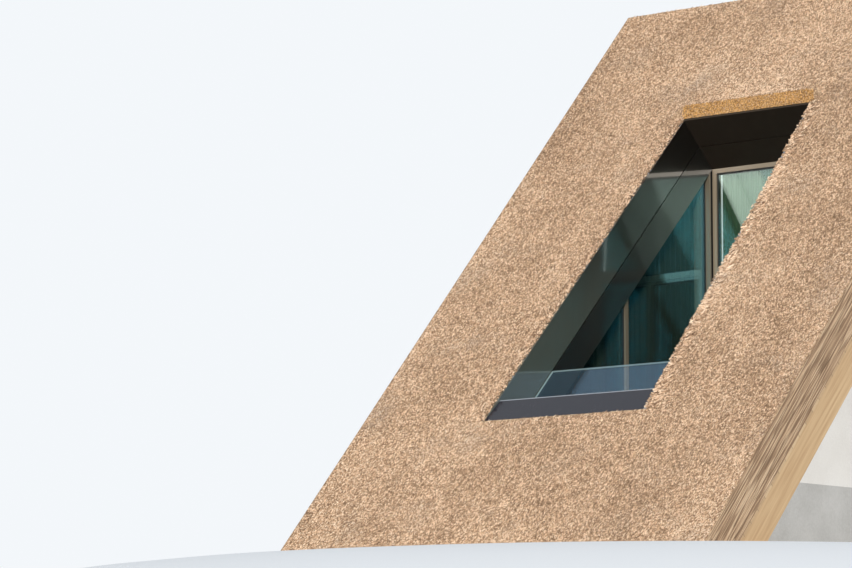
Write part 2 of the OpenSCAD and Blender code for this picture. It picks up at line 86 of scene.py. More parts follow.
@dataclass(frozen=True)
class Bay:
    """The roof bay's driving sizes, which are those of the CAD source."""

    pitch: float = math.radians(47.3)
    width: float = 4.450
    thatch: float = 0.310
    board: float = 0.025
    rafter: float = 0.240
    lip_rise: float = 0.080
    lip_run: float = 1.300
    lip_fade: float = 0.220
    open_length: float = 3.915
    top_width: float = 1.360
    foot_width: float = 1.660
    foot_rise: float = 0.610
    lining: float = 0.030
    kerb: float = 0.275
    frame_face: float = 0.040
    transom: float = 0.040
    transom_drop: float = 0.897
    leaf: float = 0.038
    leaf_gap: float = 0.004
    cheek_depth: float = 0.065
    mullion: float = 0.042
    mullion_lead: float = 1.165
    corner_lead: float = 0.045
    pane: float = 0.028
    pane_setback: float = 0.016
    pane_gap: float = 0.003
    rake_shadow: float = 0.004
    rail_height: float = 0.022
    curtain_offset: float = 0.190
    curtain_gap: float = 0.0003
    hem_gap: float = 0.015

    @property
    def roof(self) -> float:
        """Depth from the lining's face to the rafters' undersides."""
        return self.thatch + self.board + self.rafter

    @property
    def taper(self) -> float:
        """Angle by which a side of the opening leans inwards."""
        return math.atan((self.foot_width - self.top_width) / 2 / self.open_length)

    @property
    def floor_z(self) -> float:
        """Level of the room's boards."""
        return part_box("room_floor")[1].z

    @property
    def foot_z(self) -> float:
        """Level of the opening's foot."""
        return self.floor_z + self.foot_rise

    @property
    def foot_y(self) -> float:
        """Place of the opening's foot, from where the slope meets the base."""
        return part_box("thatch_bottom")[0].y + self.foot_z / math.tan(self.pitch)

    @property
    def window_y(self) -> float:
        """Outer face of the front window."""
        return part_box("front_frame")[0].y

    @property
    def head_z(self) -> float:
        """Top of the front window."""
        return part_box("front_frame")[1].z

    @property
    def knee_y(self) -> float:
        """Inner end of the kerb at the rafters' undersides."""
        return self.slope_point(0, self.kerb, self.roof).y

    @property
    def cheek_rear_y(self) -> float:
        """Rear end of a cheek's glass."""
        return self.window_y - self.corner_lead

    @property
    def up(self) -> Vector:
        """Direction up the slope."""
        return Vector((0, math.cos(self.pitch), math.sin(self.pitch)))

    @property
    def out(self) -> Vector:
        """Direction out of the slope."""
        return Vector((0, -math.sin(self.pitch), math.cos(self.pitch)))

    def slope_point(self, x: float, s: float, n: float) -> Vector:
        """Place at x across, s up the slope and n into the roof."""
        return Vector((x, self.foot_y, self.foot_z)) + self.up * s - self.out * n

    def cheek_x(self, y: float, off: float) -> float:
        """Distance from the middle of a plumb plane parallel to a cheek, off from the lining."""
        s = (y - self.foot_y - self.roof * math.sin(self.pitch)) / math.cos(self.pitch)
        return self.half_width(s) + off / math.cos(math.atan(math.tan(self.taper) / math.cos(self.pitch)))

    def rake_z(self, y: float, n: float) -> float:
        """Level at y of the plane that lies n into the roof."""
        return self.foot_z + (y - self.foot_y) * math.tan(self.pitch) - n / math.cos(self.pitch)

    def half_width(self, s: float) -> float:
        """Half the opening's width at a place up the slope."""
        return self.foot_width / 2 - s * math.tan(self.taper)

    def side_x(self, s: float, off: float) -> float:
        """Distance from the middle of a line beside the opening, off from the lining's face."""
        return self.half_width(s) + off / math.cos(self.taper)

    def cheek_point(self, side: Side, y: float, z: float, off: float) -> Vector:
        """Place in a plane parallel to a cheek."""
        return Vector((side.value * self.cheek_x(y, off), y, z))

    def lip_full_height(self, x: float) -> float:
        """Height of the swollen thatch at its cut face, which fades beside the opening."""
        over = min(1.0, max(0.0, (abs(x) - self.top_width / 2) / self.lip_fade))
        return self.lip_rise * (1 + math.cos(math.pi * over)) / 2

    def lip_height(self, x: float, s: float) -> float:
        """Height of the swollen thatch over the head of the opening.

        Args:
            x: Place across the bay.
            s: Place up the slope.

        Returns:
            The height out of the slope.
        """
        rise = self.lip_full_height(x)
        first = self.lip_start + rise * math.tan(self.pitch)
        run = min(1.0, max(0.0, (s - first) / (self.lip_start + self.lip_run - first)))
        return rise * (1 - run) ** 2

    @property
    def lip_start(self) -> float:
        """Lower edge of the thatch over the opening."""
        return self.open_length + self.lining


BAY = Bay()


# Node trees


class Value:
    """A number in a node tree. Python's operators on it add Math nodes."""

    def __init__(self, graph: "Graph", socket: bpy.types.NodeSocket) -> None:
        """Wraps an output socket of the graph."""
        self.graph = graph
        self.socket = socket

    def _math(self, operation: str, first: object, second: object = 0.0) -> "Value":
        """Adds one Math node and returns its result."""
        node = self.graph.add("ShaderNodeMath", {"operation": operation}, {0: first, 1: second})
        return Value(self.graph, node.outputs[0])

    def __add__(self, other: object) -> "Value":
        """Adds."""
        return self._math("ADD", self, other)

    __radd__ = __add__

    def __sub__(self, other: object) -> "Value":
        """Takes other away."""
        return self._math("SUBTRACT", self, other)

    def __rsub__(self, other: object) -> "Value":
        """Is taken away from other."""
        return self._math("SUBTRACT", other, self)

    def __mul__(self, other: object) -> "Value":
        """Multiplies."""
        return self._math("MULTIPLY", self, other)

    __rmul__ = __mul__

    def __truediv__(self, other: object) -> "Value":
        """Divides by other."""
        return self._math("DIVIDE", self, other)

    def __rtruediv__(self, other: object) -> "Value":
        """Divides other."""
        return self._math("DIVIDE", other, self)

    def __pow__(self, other: object) -> "Value":
        """Raises to a power."""
        return self._math("POWER", self, other)

    def __rpow__(self, other: object) -> "Value":
        """Is the power to which other is raised."""
        return self._math("POWER", other, self)

    def __gt__(self, other: object) -> "Value":
        """Is 1 where it is greater than other."""
        return self._math("GREATER_THAN", self, other)

    def __lt__(self, other: object) -> "Value":
        """Is 1 where it is less than other."""
        return self._math("LESS_THAN", self, other)

    def absolute(self) -> "Value":
        """Drops the sign."""
        return self._math("ABSOLUTE", self)

    def sine(self) -> "Value":
        """Sine of an angle in radians."""
        return self._math("SINE", self)

    def fraction(self) -> "Value":
        """Part after the point."""
        return self._math("FRACT", self)

    def floor(self) -> "Value":
        """Whole part."""
        return self._math("FLOOR", self)

    def largest(self, other: object) -> "Value":
        """The larger of two numbers."""
        return self._math("MAXIMUM", self, other)

    def smallest(self, other: object) -> "Value":
        """The smaller of two numbers."""
        return self._math("MINIMUM", self, other)

    def ease(self, low: float, high: float) -> "Value":
        """Goes smoothly from 0 to 1.

        Args:
            low: Where it is 0.
            high: Where it is 1.

        Returns:
            The eased number.
        """
        node = self.graph.add(
            "ShaderNodeMapRange",
            {"interpolation_type": "SMOOTHSTEP"},
            {"Value": self, "From Min": low, "From Max": high},
        )
        return Value(self.graph, node.outputs["Result"])


class Graph:
    """A node tree under construction, for a material or for geometry."""

    def __init__(self, tree: bpy.types.NodeTree) -> None:
        """Starts with an empty tree."""
        self.tree = tree
        self.tree.nodes.clear()

    def add(
        self,
        kind: str,
        settings: Optional[dict[str, object]] = None,
        inputs: Optional[dict[Key, object]] = None,
    ) -> bpy.types.Node:
        """Adds a node, sets it up, then fills its sockets.

        Args:
            kind: The node's type.
            settings: The node's own properties, with a ramp's stops under "stops".
            inputs: Values or links by socket name or number.

        Returns:
            The new node.
        """
        node = self.tree.nodes.new(kind)
        for name, value in (settings or {}).items():
            if name == "stops":
                self._set_stops(node.color_ramp, value)
            else:
                setattr(node, name, value)
        for key, value in (inputs or {}).items():
            self.feed(node.inputs[key], value)
        return node

    def feed(self, socket: bpy.types.NodeSocket, value: object) -> None:
        """Links a socket, or sets the number, colour or vector on it.

        Args:
            socket: The input to fill.
            value: What goes in.
        """
        source = value.socket if isinstance(value, Value) else value
        if isinstance(source, bpy.types.NodeSocket):
            self.tree.links.new(source, socket)
        elif socket.type == "RGBA":
            socket.default_value = (*source, 1.0)
        else:
            socket.default_value = source

    def value(self, node: bpy.types.Node, output: Key = 0) -> Value:
        """One of a node's outputs as a number to calculate with."""
        return Value(self, node.outputs[output])

    @staticmethod
    def _set_stops(ramp: bpy.types.ColorRamp, stops: Sequence[tuple[float, Colour]]) -> None:
        """Sets a colour ramp's places and colours.

        Args:
            ramp: The ramp.
            stops: Its places from 0 to 1, each with a colour.
        """
        while len(ramp.elements) < len(stops):
            ramp.elements.new(1.0)
        for element, (place, colour) in zip(ramp.elements, stops):
            element.position = place
            element.color = (*colour, 1.0)


class Direction(Enum):
    """Which way a grain or a course runs."""

    ACROSS = "across the bay"
    SLOPE = "up the slope"
    DEEP = "into the building"


class Paint(Graph):
    """One material's tree, with the patterns that the finishes share."""

    def __init__(self, name: str) -> None:
        """Starts a material.

        Args:
            name: The finish's name.
        """
        self.material = bpy.data.materials.new(f"finish_{name}")
        self.material.use_nodes = True
        super().__init__(self.material.node_tree)

    def place(self) -> bpy.types.NodeSocket:
        """Object coordinates, which are metres in the part's frame."""
        return self.add("ShaderNodeTexCoord").outputs["Object"]

    def slope_place(self) -> bpy.types.NodeSocket:
        """Coordinates turned to the slope.

        Returns:
            The vector socket, with x across, y up the slope and z out of it.
        """
        return self.add(
            "ShaderNodeMapping",
            {"vector_type": "POINT"},
            {"Vector": self.place(), "Rotation": (-BAY.pitch, 0, 0)},
        ).outputs[0]

    def scaled(self, vector: object, scale: Sequence[float]) -> bpy.types.NodeSocket:
        """A vector with each axis multiplied."""
        inputs = {0: vector, 1: tuple(scale)}
        return self.add("ShaderNodeVectorMath", {"operation": "MULTIPLY"}, inputs).outputs[0]

    def grain_place(self, direction: Direction, across: float, along: float) -> bpy.types.NodeSocket:
        """Coordinates in which a grain is stretched along a direction.

        Args:
            direction: The way of the grain.
            across: Repeats a metre square to the grain.
            along: Repeats a metre along the grain.

        Returns:
            The vector socket.
        """
        scale = {
            Direction.ACROSS: (along, across, across),
            Direction.SLOPE: (across, along, across),
            Direction.DEEP: (across, along, across),
        }[direction]
        base = self.slope_place() if direction is Direction.SLOPE else self.place()
        return self.scaled(base, scale)

    def noise(
        self, vector: object, scale: float = 1.0, detail: float = 3.0, roughness: float = 0.5
    ) -> Value:
        """Soft noise.

        Args:
            vector: Where the pattern is read.
            scale: Size of the pattern, as repeats a unit.
            detail: How many finer layers it has.
            roughness: How strong the finer layers are.

        Returns:
            A number from 0 to 1.
        """
        node = self.add(
            "ShaderNodeTexNoise",
            inputs={"Vector": vector, "Scale": scale, "Detail": detail, "Roughness": roughness},
        )
        return self.value(node, "Fac")

    def cells(self, vector: object, scale: float = 1.0, jitter: float = 1.0) -> tuple[Value, Value]:
        """Cells with a random number each.

        Args:
            vector: Where the pattern is read.
            scale: Cells a unit.
            jitter: How far the cells stray from a grid.

        Returns:
            The distance to a cell's centre, and the cell's random number.
        """
        node = self.add(
            "ShaderNodeTexVoronoi", inputs={"Vector": vector, "Scale": scale, "Randomness": jitter}
        )
        split = self.add("ShaderNodeSeparateColor", inputs={0: node.outputs["Color"]})
        return self.value(node, "Distance"), self.value(split, 0)

    def split(self, vector: object) -> tuple[Value, Value, Value]:
        """The three parts of a vector."""
        node = self.add("ShaderNodeSeparateXYZ", inputs={0: vector})
        return self.value(node, 0), self.value(node, 1), self.value(node, 2)

    def facing(self, direction: Vector) -> Value:
        """How far the surface faces a direction.

        Args:
            direction: The direction.

        Returns:
            The cosine between it and the surface's normal.
        """
        node = self.add(
            "ShaderNodeVectorMath",
            {"operation": "DOT_PRODUCT"},
            {0: self.add("ShaderNodeNewGeometry").outputs["Normal"], 1: tuple(direction)},
        )
        return self.value(node, "Value")

    def mix(self, share: object, first: object, second: object) -> bpy.types.NodeSocket:
        """Mixes two colours."""
        inputs = {0: share, 6: first, 7: second}
        return self.add("ShaderNodeMix", {"data_type": "RGBA"}, inputs).outputs[2]

    def ramp(self, share: Value, stops: Sequence[tuple[float, Colour]]) -> bpy.types.NodeSocket:
        """A colour by a number from 0 to 1."""
        return self.add("ShaderNodeValToRGB", {"stops": stops}, {0: share}).outputs[0]

    def bump(self, height: Value, depth: float, strength: float = 1.0) -> bpy.types.NodeSocket:
        """A normal bent by a height from 0 to 1 that stands for a depth in metres."""
        inputs = {"Height": height, "Distance": depth, "Strength": strength}
        return self.add("ShaderNodeBump", inputs=inputs).outputs[0]

    def principled(self, **inputs: object) -> bpy.types.Node:
        """A Principled shader, with spaces in its sockets' names written as underscores."""
        named = {name.replace("_", " "): value for name, value in inputs.items()}
        return self.add("ShaderNodeBsdfPrincipled", inputs=named)

    def finish(self, shader: bpy.types.Node) -> bpy.types.Material:
        """Puts a shader on the output and returns the material."""
        self.add("ShaderNodeOutputMaterial", inputs={"Surface": shader.outputs[0]})
        return self.material


# Finishes


@dataclass(frozen=True)
class Finish:
    """A finish that is made into one material."""

    name: str

    def build(self) -> bpy.types.Material:
        """Makes the material."""
        raise NotImplementedError

    def material(self) -> bpy.types.Material:
        """The material, made the first time it is asked for."""
        return bpy.data.materials.get(f"finish_{self.name}") or self.build()


@dataclass(frozen=True)
class ThatchCore(Finish):
    """The mass of the thatch behind the reed ends, and its cut sides with their stems."""

    # The gap colour is the darkest tone of the ramp and also the painted shade between the reed ends.
    gap: Colour = (0.22, 0.14, 0.085)
    shade: Colour = (0.44, 0.29, 0.18)
    stem: Colour = (0.68, 0.47, 0.30)
    pale: Colour = (0.82, 0.62, 0.42)
    ends_a_metre: Triple = (110, 42, 110)
    stems_a_metre: Triple = (150, 3.5, 150)
    relief: float = 0.010

    def build(self) -> bpy.types.Material:
        """Makes the material.

        Returns:
            The material, with reed ends on the slope and stems on the cut sides.
        """
        paint = Paint(self.name)
        place = paint.slope_place()
        ends, end_tone = paint.cells(paint.scaled(place, self.ends_a_metre))
        stems, stem_tone = paint.cells(paint.scaled(place, self.stems_a_metre))
        face = paint.facing(BAY.out).ease(low=0.55, high=0.8)
        tone = end_tone * face + stem_tone * (1 - face)
        depth = ends * face + stems * (1 - face)
        patches = paint.noise(place, scale=0.9, detail=4.0, roughness=0.6)
        colour = paint.ramp(
            (tone * 0.75 + patches * 0.45 - 0.12).ease(low=0.0, high=1.0),
            [(0.0, self.gap), (0.35, self.shade), (0.7, self.stem), (1.0, self.pale)],
        )
        # Painted shade: each reed end's cell darkens towards its edge, standing for the shade between the
        # ends.
        shaded = paint.mix(depth.ease(low=0.35, high=0.75) * 0.7, colour, self.gap)
        return paint.finish(
            paint.principled(
                Base_Color=shaded,
                Roughness=0.92,
                Specular_IOR_Level=0.15,
                Normal=paint.bump(1 - depth, depth=self.relief),
            )
        )


@dataclass(frozen=True)
class ReedEnds(Finish):
    """Single reed stems, each with its own tone.

    The spread says how far the broad patches, the streaks down the slope and the tufts shift
    the tone.
    """

    dark: Colour
    middle: Colour
    pale: Colour
    spread: float
    weather: Colour = (0.36, 0.33, 0.30)
    most_weather: float = 0.30
    streaks_a_metre: Triple = (2.2, 0.35, 1.0)
    fibres_a_metre: Triple = (900, 60, 900)
    fibre_depth: float = 0.0006

    def build(self) -> bpy.types.Material:
        """Makes the material.

        Returns:
            The material, which reads each stem's tone from its attribute.
        """
        paint = Paint(self.name)
        tone = paint.value(
            paint.add("ShaderNodeAttribute", {"attribute_type": "GEOMETRY", "attribute_name": TONE}),
            "Fac",
        )
        place = paint.slope_place()
        patches = paint.noise(place, scale=0.8, detail=5.0, roughness=0.62)
        streaks = paint.noise(paint.scaled(place, self.streaks_a_metre), detail=3.0, roughness=0.6)
        tufts = paint.noise(place, scale=11.0, detail=2.0)
        cover = (patches - 0.5) * 2 + (streaks - 0.5) + (tufts - 0.5) * 0.8
        share = tone * 0.85 + cover * self.spread + 0.07
        colour = paint.ramp(
            share.ease(low=0.0, high=1.0),
            [(0.0, self.dark), (0.5, self.middle), (1.0, self.pale)],
        )
        clouds = paint.noise(place, scale=1.7, detail=4.0, roughness=0.6)
        worn = paint.mix(clouds.ease(low=0.50, high=0.80) * self.most_weather, colour, self.weather)
        fibres = paint.noise(paint.scaled(place, self.fibres_a_metre), detail=2.0)
        return paint.finish(
            paint.principled(
                Base_Color=worn,
                Roughness=0.85,
                Specular_IOR_Level=0.25,
                Normal=paint.bump(fibres, depth=self.fibre_depth, strength=0.6),
            )
        )


@dataclass(frozen=True)
class Timber(Finish):
    """Sawn or planed wood with its grain along one direction."""

    light: Colour
    dark: Colour
    direction: Direction
    roughness: float = 0.62
    grain_depth: float = 0.0008

    def build(self) -> bpy.types.Material:
        """Makes the material.

        Returns:
            The material, with rings and fibres along the grain.
        """
        paint = Paint(self.name)
        rings = paint.noise(
            paint.grain_place(self.direction, across=55, along=1.6), detail=4.0, roughness=0.55
        )
        fibres = paint.noise(paint.grain_place(self.direction, across=420, along=9), detail=2.0)
        broad = paint.noise(paint.grain_place(self.direction, across=3.0, along=0.4), detail=2.0)
        share = (rings * 0.75 + fibres * 0.2 + broad * 0.35 - 0.15).ease(low=0.2, high=0.8)
        return paint.finish(
            paint.principled(
                Base_Color=paint.ramp(share, [(0.0, self.dark), (1.0, self.light)]),
                Roughness=fibres * 0.2 + (self.roughness - 0.1),
                Normal=paint.bump(rings * 0.6 + fibres * 0.4, depth=self.grain_depth),
            )
        )


@dataclass(frozen=True)
class Boarding(Finish):
    """Boards laid side by side, with open joints and a tone for each board.

    The hashes turn the numbers of a row and a board into its butt joints' slip and its tone.
    """

    light: Colour
    dark: Colour
    width: float
    length: float
    direction: Direction
    roughness: float = 0.6
    joint: float = 0.003
    butt: float = 0.002
    joint_depth: float = 0.003
    joint_colour: Colour = (0.03, 0.022, 0.016)
    slip_hash: tuple[float, float] = (12.9898, 7.13)
    tone_hash: Triple = (78.233, 37.719, 43758.5453)

    def build(self) -> bpy.types.Material:
        """Makes the material.

        Returns:
            The material, with a row of boards for each width and joints that stray by row.
        """
        paint = Paint(self.name)
        turned = self.direction is Direction.ACROSS
        x, y, _ = paint.split(paint.slope_place() if turned else paint.place())
        across, along = (y, x) if turned else (x, y)
        row = (across / self.width).floor()
        slip = (row * self.slip_hash[0]).sine().absolute() * self.slip_hash[1]
        board = (along / self.length + slip).floor()
        by_row, by_board, stretch = self.tone_hash
        tone = ((row * by_row + board * by_board).sine() * stretch).fraction().absolute()
        side = ((across / self.width).fraction() - 0.5).absolute()
        end = ((along / self.length + slip).fraction() - 0.5).absolute()
        side_joint = side.ease(low=0.5 - self.joint / self.width, high=0.5)
        gap = side_joint.largest(end.ease(low=0.5 - self.butt / self.length, high=0.5))
        rings = paint.noise(
            paint.grain_place(self.direction, across=60, along=1.8), detail=4.0, roughness=0.55
        )
        share = (rings * 0.6 + tone * 0.45).ease(low=0.1, high=0.95)
        wood = paint.ramp(share, [(0.0, self.dark), (1.0, self.light)])
        return paint.finish(
            paint.principled(
                Base_Color=paint.mix(gap * 0.85, wood, self.joint_colour),
                Roughness=rings * 0.2 + (self.roughness - 0.1),
                Normal=paint.bump((1 - gap) * 0.7 + rings * 0.15, depth=self.joint_depth),
            )
        )


@dataclass(frozen=True)
class Mineral(Finish):
    """Plaster or cast concrete, with grit and a share of open pores."""

    colour: Colour
    stain: Colour
    grit: float
    pores: float
    roughness: float = 0.85
    relief: float = 0.0025

    def build(self) -> bpy.types.Material:
        """Makes the material.

        Returns:
            The material, with clouds of tone, grain and pores.
        """
        paint = Paint(self.name)
        place = paint.place()
        clouds = paint.noise(place, scale=1.1, detail=5.0, roughness=0.6)
        grain = paint.noise(place, scale=self.grit, detail=3.0, roughness=0.6)
        holes, _ = paint.cells(place, scale=38.0)
        pitted = (1 - holes.ease(low=0.02, high=0.16)) * self.pores
        share = (clouds * 0.8 + grain * 0.3 - 0.1).ease(low=0.25, high=0.75)
        face = paint.mix(share, self.stain, self.colour)
        return paint.finish(
            paint.principled(
                Base_Color=paint.mix(pitted * 0.5, face, self.stain),
                Roughness=grain * 0.15 + (self.roughness - 0.08),
                Normal=paint.bump(grain * 0.4 + clouds * 0.2 - pitted * 0.6, depth=self.relief),
            )
        )


@dataclass(frozen=True)
class Coated(Finish):
    """Sheet metal under a coat, dusty and slightly uneven.

    A lacquer gives clear reflections over a satin coat. The painted lower light makes the coat
    lighter below a height, painted light and reflection that leave the top dark as painted shade,
    and rim is a painted highlight along the top edge of the kerb's sheet.
    """

    colour: Colour
    dust: Colour
    roughness: float
    gloss: float = 1.5
    metallic: float = 0.0
    waviness: float = 0.0004
    dusting: float = 0.25
    lacquer: float = 0.0
    lacquer_gloss: float = 1.5
    lacquer_roughness: float = 0.06
    painted_lower_light: Optional[Colour] = None
    painted_light_full_below: float = 1.9
    painted_light_gone_above: float = 3.3
    rim: Optional[Colour] = None
    painted_highlight_width: float = 0.012
    streaks_a_metre: Triple = (14, 14, 1.4)

    def build(self) -> bpy.types.Material:
        """Makes the material.

        Returns:
            The material, with dust in upright streaks.
        """
        paint = Paint(self.name)
        place = paint.place()
        panel = paint.noise(place, scale=2.2, detail=2.0, roughness=0.4)
        streak = paint.noise(paint.scaled(place, self.streaks_a_metre), detail=4.0, roughness=0.6)
        speck = paint.noise(place, scale=180.0, detail=2.0)
        dirty = (streak * 0.7 + speck * 0.3).ease(low=0.42, high=0.8) * self.dusting
        coat = paint.mix(dirty, self.colour, self.dust)
        # Painted light: below a height the coat is made lighter, standing for a lit, reflecting foot,
        # while the top stays dark as painted shade.
        if self.painted_lower_light is not None:
            _, _, height = paint.split(place)
            painted_light_share = (1 - height.ease(self.painted_light_full_below, self.painted_light_gone_above)) * (streak * 0.3 + 0.85)
            coat = paint.mix(painted_light_share.smallest(1.0), coat, self.painted_lower_light)
        # Painted highlight: a pale band along the top edge of the sheet where it faces out.
        if self.rim is not None:
            _, up_slope, _ = paint.split(paint.slope_place())
            first = BAY.slope_point(0, BAY.kerb - self.painted_highlight_width, 0).dot(BAY.up)
            front = paint.facing(BAY.out) > 0.5
            coat = paint.mix((up_slope > first) * front, coat, self.rim)
        return paint.finish(
            paint.principled(
                Base_Color=coat,
                Metallic=self.metallic,
                Roughness=dirty * 0.35 + (panel * 0.04 + (self.roughness - 0.02)),
                IOR=self.gloss,
                Coat_Weight=self.lacquer,
                Coat_Roughness=self.lacquer_roughness,
                Coat_IOR=self.lacquer_gloss,
                Normal=paint.bump(panel, depth=self.waviness, strength=0.5),
            )
        )


@dataclass(frozen=True)
class Pane(Finish):
    """Flat glass: it lets light through with a tint and mirrors a share that grows aslant.

    Where an edge colour is given, every side that doesn't look along outward has it.
    """

    tint: Colour
    mirror: Colour
    least: float
    edge: Optional[Colour] = None
    outward: Optional[Vector] = None

    def build(self) -> bpy.types.Material:
        """Makes the material.

        Returns:
            The material, with its mirrored share by the angle and faint smears.
        """
        paint = Paint(self.name)
        aslant = paint.value(paint.add("ShaderNodeLayerWeight", inputs={"Blend": 0.5}), "Facing")
        clouds = paint.noise(paint.place(), scale=3.0, detail=4.0, roughness=0.6)
        smear = clouds.ease(low=0.45, high=0.9) * 0.02
        share = aslant**5 * (1 - self.least) + self.least
        clear = paint.add("ShaderNodeBsdfTransparent", inputs={"Color": self.tint})
        shine = paint.add(
            "ShaderNodeBsdfGlossy", inputs={"Color": self.mirror, "Roughness": smear + 0.005}
        )
        shader = paint.add(
            "ShaderNodeMixShader", inputs={0: share, 1: clear.outputs[0], 2: shine.outputs[0]}
        )
        if self.edge is None or self.outward is None:
            return paint.finish(shader)
        flat = paint.facing(self.outward).absolute().ease(low=0.6, high=0.9)
        rim = paint.principled(Base_Color=self.edge, Roughness=0.12, IOR=1.52, Alpha=0.75)
        return paint.finish(
            paint.add("ShaderNodeMixShader", inputs={0: flat, 1: rim.outputs[0], 2: shader.outputs[0]})
        )


@dataclass(frozen=True)
class Rubber(Finish):
    """Black window gasket."""

    colour: Colour = (0.012, 0.012, 0.013)
    bloom: Colour = (0.06, 0.06, 0.06)

    def build(self) -> bpy.types.Material:
        """Makes the material.

        Returns:
            The material, with a faint bloom in specks.
        """
        paint = Paint(self.name)
        speck = paint.noise(paint.place(), scale=400.0, detail=2.0)
        return paint.finish(
            paint.principled(
                Base_Color=paint.mix(speck.ease(low=0.6, high=0.9) * 0.3, self.colour, self.bloom),
                Roughness=speck * 0.2 + 0.5,
                Normal=paint.bump(speck, depth=0.0002),
            )
        )


@dataclass(frozen=True)
class Cloth(Finish):
    """Woven curtain cloth, read on its own flat map in metres."""

    colour: Colour
    shade: Colour
    thread: float = 0.0012
    weave_depth: float = 0.0005
    slubs_a_metre: Triple = (3, 260, 1)

    def build(self) -> bpy.types.Material:
        """Makes the material.

        Returns:
            The material, with its weave, uneven threads and a slow change of tone.
        """
        paint = Paint(self.name)
        flat = paint.add("ShaderNodeUVMap", {"uv_map": CLOTH_MAP}).outputs[0]
        u, v, _ = paint.split(flat)
        warp = (u * (2 * math.pi / self.thread)).sine()
        weft = (v * (2 * math.pi / self.thread)).sine()
        weave = (warp * weft) * 0.5 + 0.5
        slub = paint.noise(paint.scaled(flat, self.slubs_a_metre), detail=2.0)
        fade = paint.noise(flat, scale=1.6, detail=3.0)
        share = (weave * 0.3 + slub * 0.4 + fade * 0.3).ease(low=0.2, high=0.8)
        return paint.finish(
            paint.principled(
                Base_Color=paint.ramp(share, [(0.0, self.shade), (1.0, self.colour)]),
                Roughness=0.85,
                Sheen_Weight=0.15,
                Normal=paint.bump(weave * 0.7 + slub * 0.3, depth=self.weave_depth, strength=0.5),
            )
        )


THATCH = ThatchCore("thatch_core")
REED = ReedEnds(
    "reed_weathered",
    dark=(0.24, 0.155, 0.095),
    middle=(0.70, 0.480, 0.318),
    pale=(0.96, 0.77, 0.58),
    spread=0.36,
)
REED_CUT = ReedEnds(
    "reed_cut", dark=(0.18, 0.085, 0.02), middle=(0.60, 0.32, 0.095), pale=(0.86, 0.56, 0.24), spread=0.1
)
SOFTWOOD_SLOPE = Timber(
    "softwood_slope", light=(0.62, 0.44, 0.25), dark=(0.42, 0.26, 0.13), direction=Direction.SLOPE
)
SOFTWOOD_ACROSS = Timber(
    "softwood_across", light=(0.60, 0.42, 0.24), dark=(0.40, 0.25, 0.12), direction=Direction.ACROSS
)
ROOF_BOARDS = Boarding(
    "roof_boards",
    light=(0.62, 0.45, 0.27),
    dark=(0.40, 0.26, 0.14),
    width=0.140,
    length=2.4,
    direction=Direction.ACROSS,
)
OAK_BOARDS = Boarding(
    "oak_boards",
    light=(0.50, 0.34, 0.19),
    dark=(0.30, 0.18, 0.09),
    width=0.120,
    length=1.8,
    direction=Direction.DEEP,
)
TERRACE_BOARDS = Timber(
    "terrace_boards",
    light=(0.36, 0.27, 0.20),
    dark=(0.20, 0.14, 0.10),
    direction=Direction.DEEP,
    roughness=0.7,
)
PLASTER = Mineral(
    "plaster", colour=(0.74, 0.72, 0.68), stain=(0.62, 0.59, 0.55), grit=90.0, pores=0.1
)
CONCRETE = Mineral(
    "concrete", colour=(0.50, 0.49, 0.47), stain=(0.34, 0.33, 0.31), grit=60.0, pores=0.9
)
# The outer lining's lighter lower part is painted light and reflection; its dark top is painted shade.
LINING = Coated(
    "lining_coat",
    colour=(0.0015, 0.0016, 0.0015),
    dust=(0.005, 0.005, 0.0046),
    roughness=0.30,
    gloss=1.9,
    dusting=0.15,
    lacquer=1.0,
    lacquer_gloss=3.0,
    painted_lower_light=(0.078, 0.092, 0.077),
)
# The inner lining's lighter lower part is painted light as well.
LINING_IN = Coated(
    "lining_inner_coat",
    colour=(0.005, 0.005, 0.0045),
    dust=(0.018, 0.017, 0.016),
    roughness=0.30,
    gloss=1.9,
    dusting=0.15,
    lacquer=1.0,
    lacquer_gloss=2.2,
    painted_lower_light=(0.012, 0.012, 0.0115),
)
SOFFIT = Coated(
    "soffit_coat", colour=(0.018, 0.013, 0.009), dust=(0.04, 0.03, 0.02), roughness=0.30, gloss=1.4
)
KNEE = Coated("knee_coat", colour=(0.02, 0.02, 0.021), dust=(0.05, 0.05, 0.045), roughness=0.30)
# The kerb's rim colour is a painted highlight on the top edge of its sheet.
KERB = Coated(
    "kerb_coat",
    colour=(0.012, 0.013, 0.022),
    dust=(0.032, 0.031, 0.038),
    roughness=0.22,
    gloss=1.34,
    rim=(0.26, 0.28, 0.31),
)
FRAME = Coated("frame_coat", colour=(0.235, 0.19, 0.135), dust=(0.20, 0.165, 0.12), roughness=0.30)
# A darker copy of the frame's coat: painted shade for the frames in the cheeks and the door leaves.
FRAME_PAINTED_SHADE = Coated(
    "cheek_frame_coat", colour=(0.135, 0.115, 0.082), dust=(0.115, 0.097, 0.070), roughness=0.30
)
BLACK = Coated("black_coat", colour=(0.008, 0.008, 0.008), dust=(0.03, 0.03, 0.03), roughness=0.35)
ANODISED = Coated(
    "anodised", colour=(0.55, 0.56, 0.57), dust=(0.40, 0.39, 0.37), roughness=0.30, metallic=1.0
)
FRONT_GLASS = Pane("front_glass", tint=(0.955, 0.985, 0.965), mirror=(0.80, 0.98, 0.90), least=0.12)
# The cheek glass's strong blue mirror tint is a painted sky reflection; the mirroring itself is traced.
CHEEK_GLASS = Pane("cheek_glass", tint=(0.955, 0.985, 0.965), mirror=(0.32, 0.80, 1.0), least=0.110)
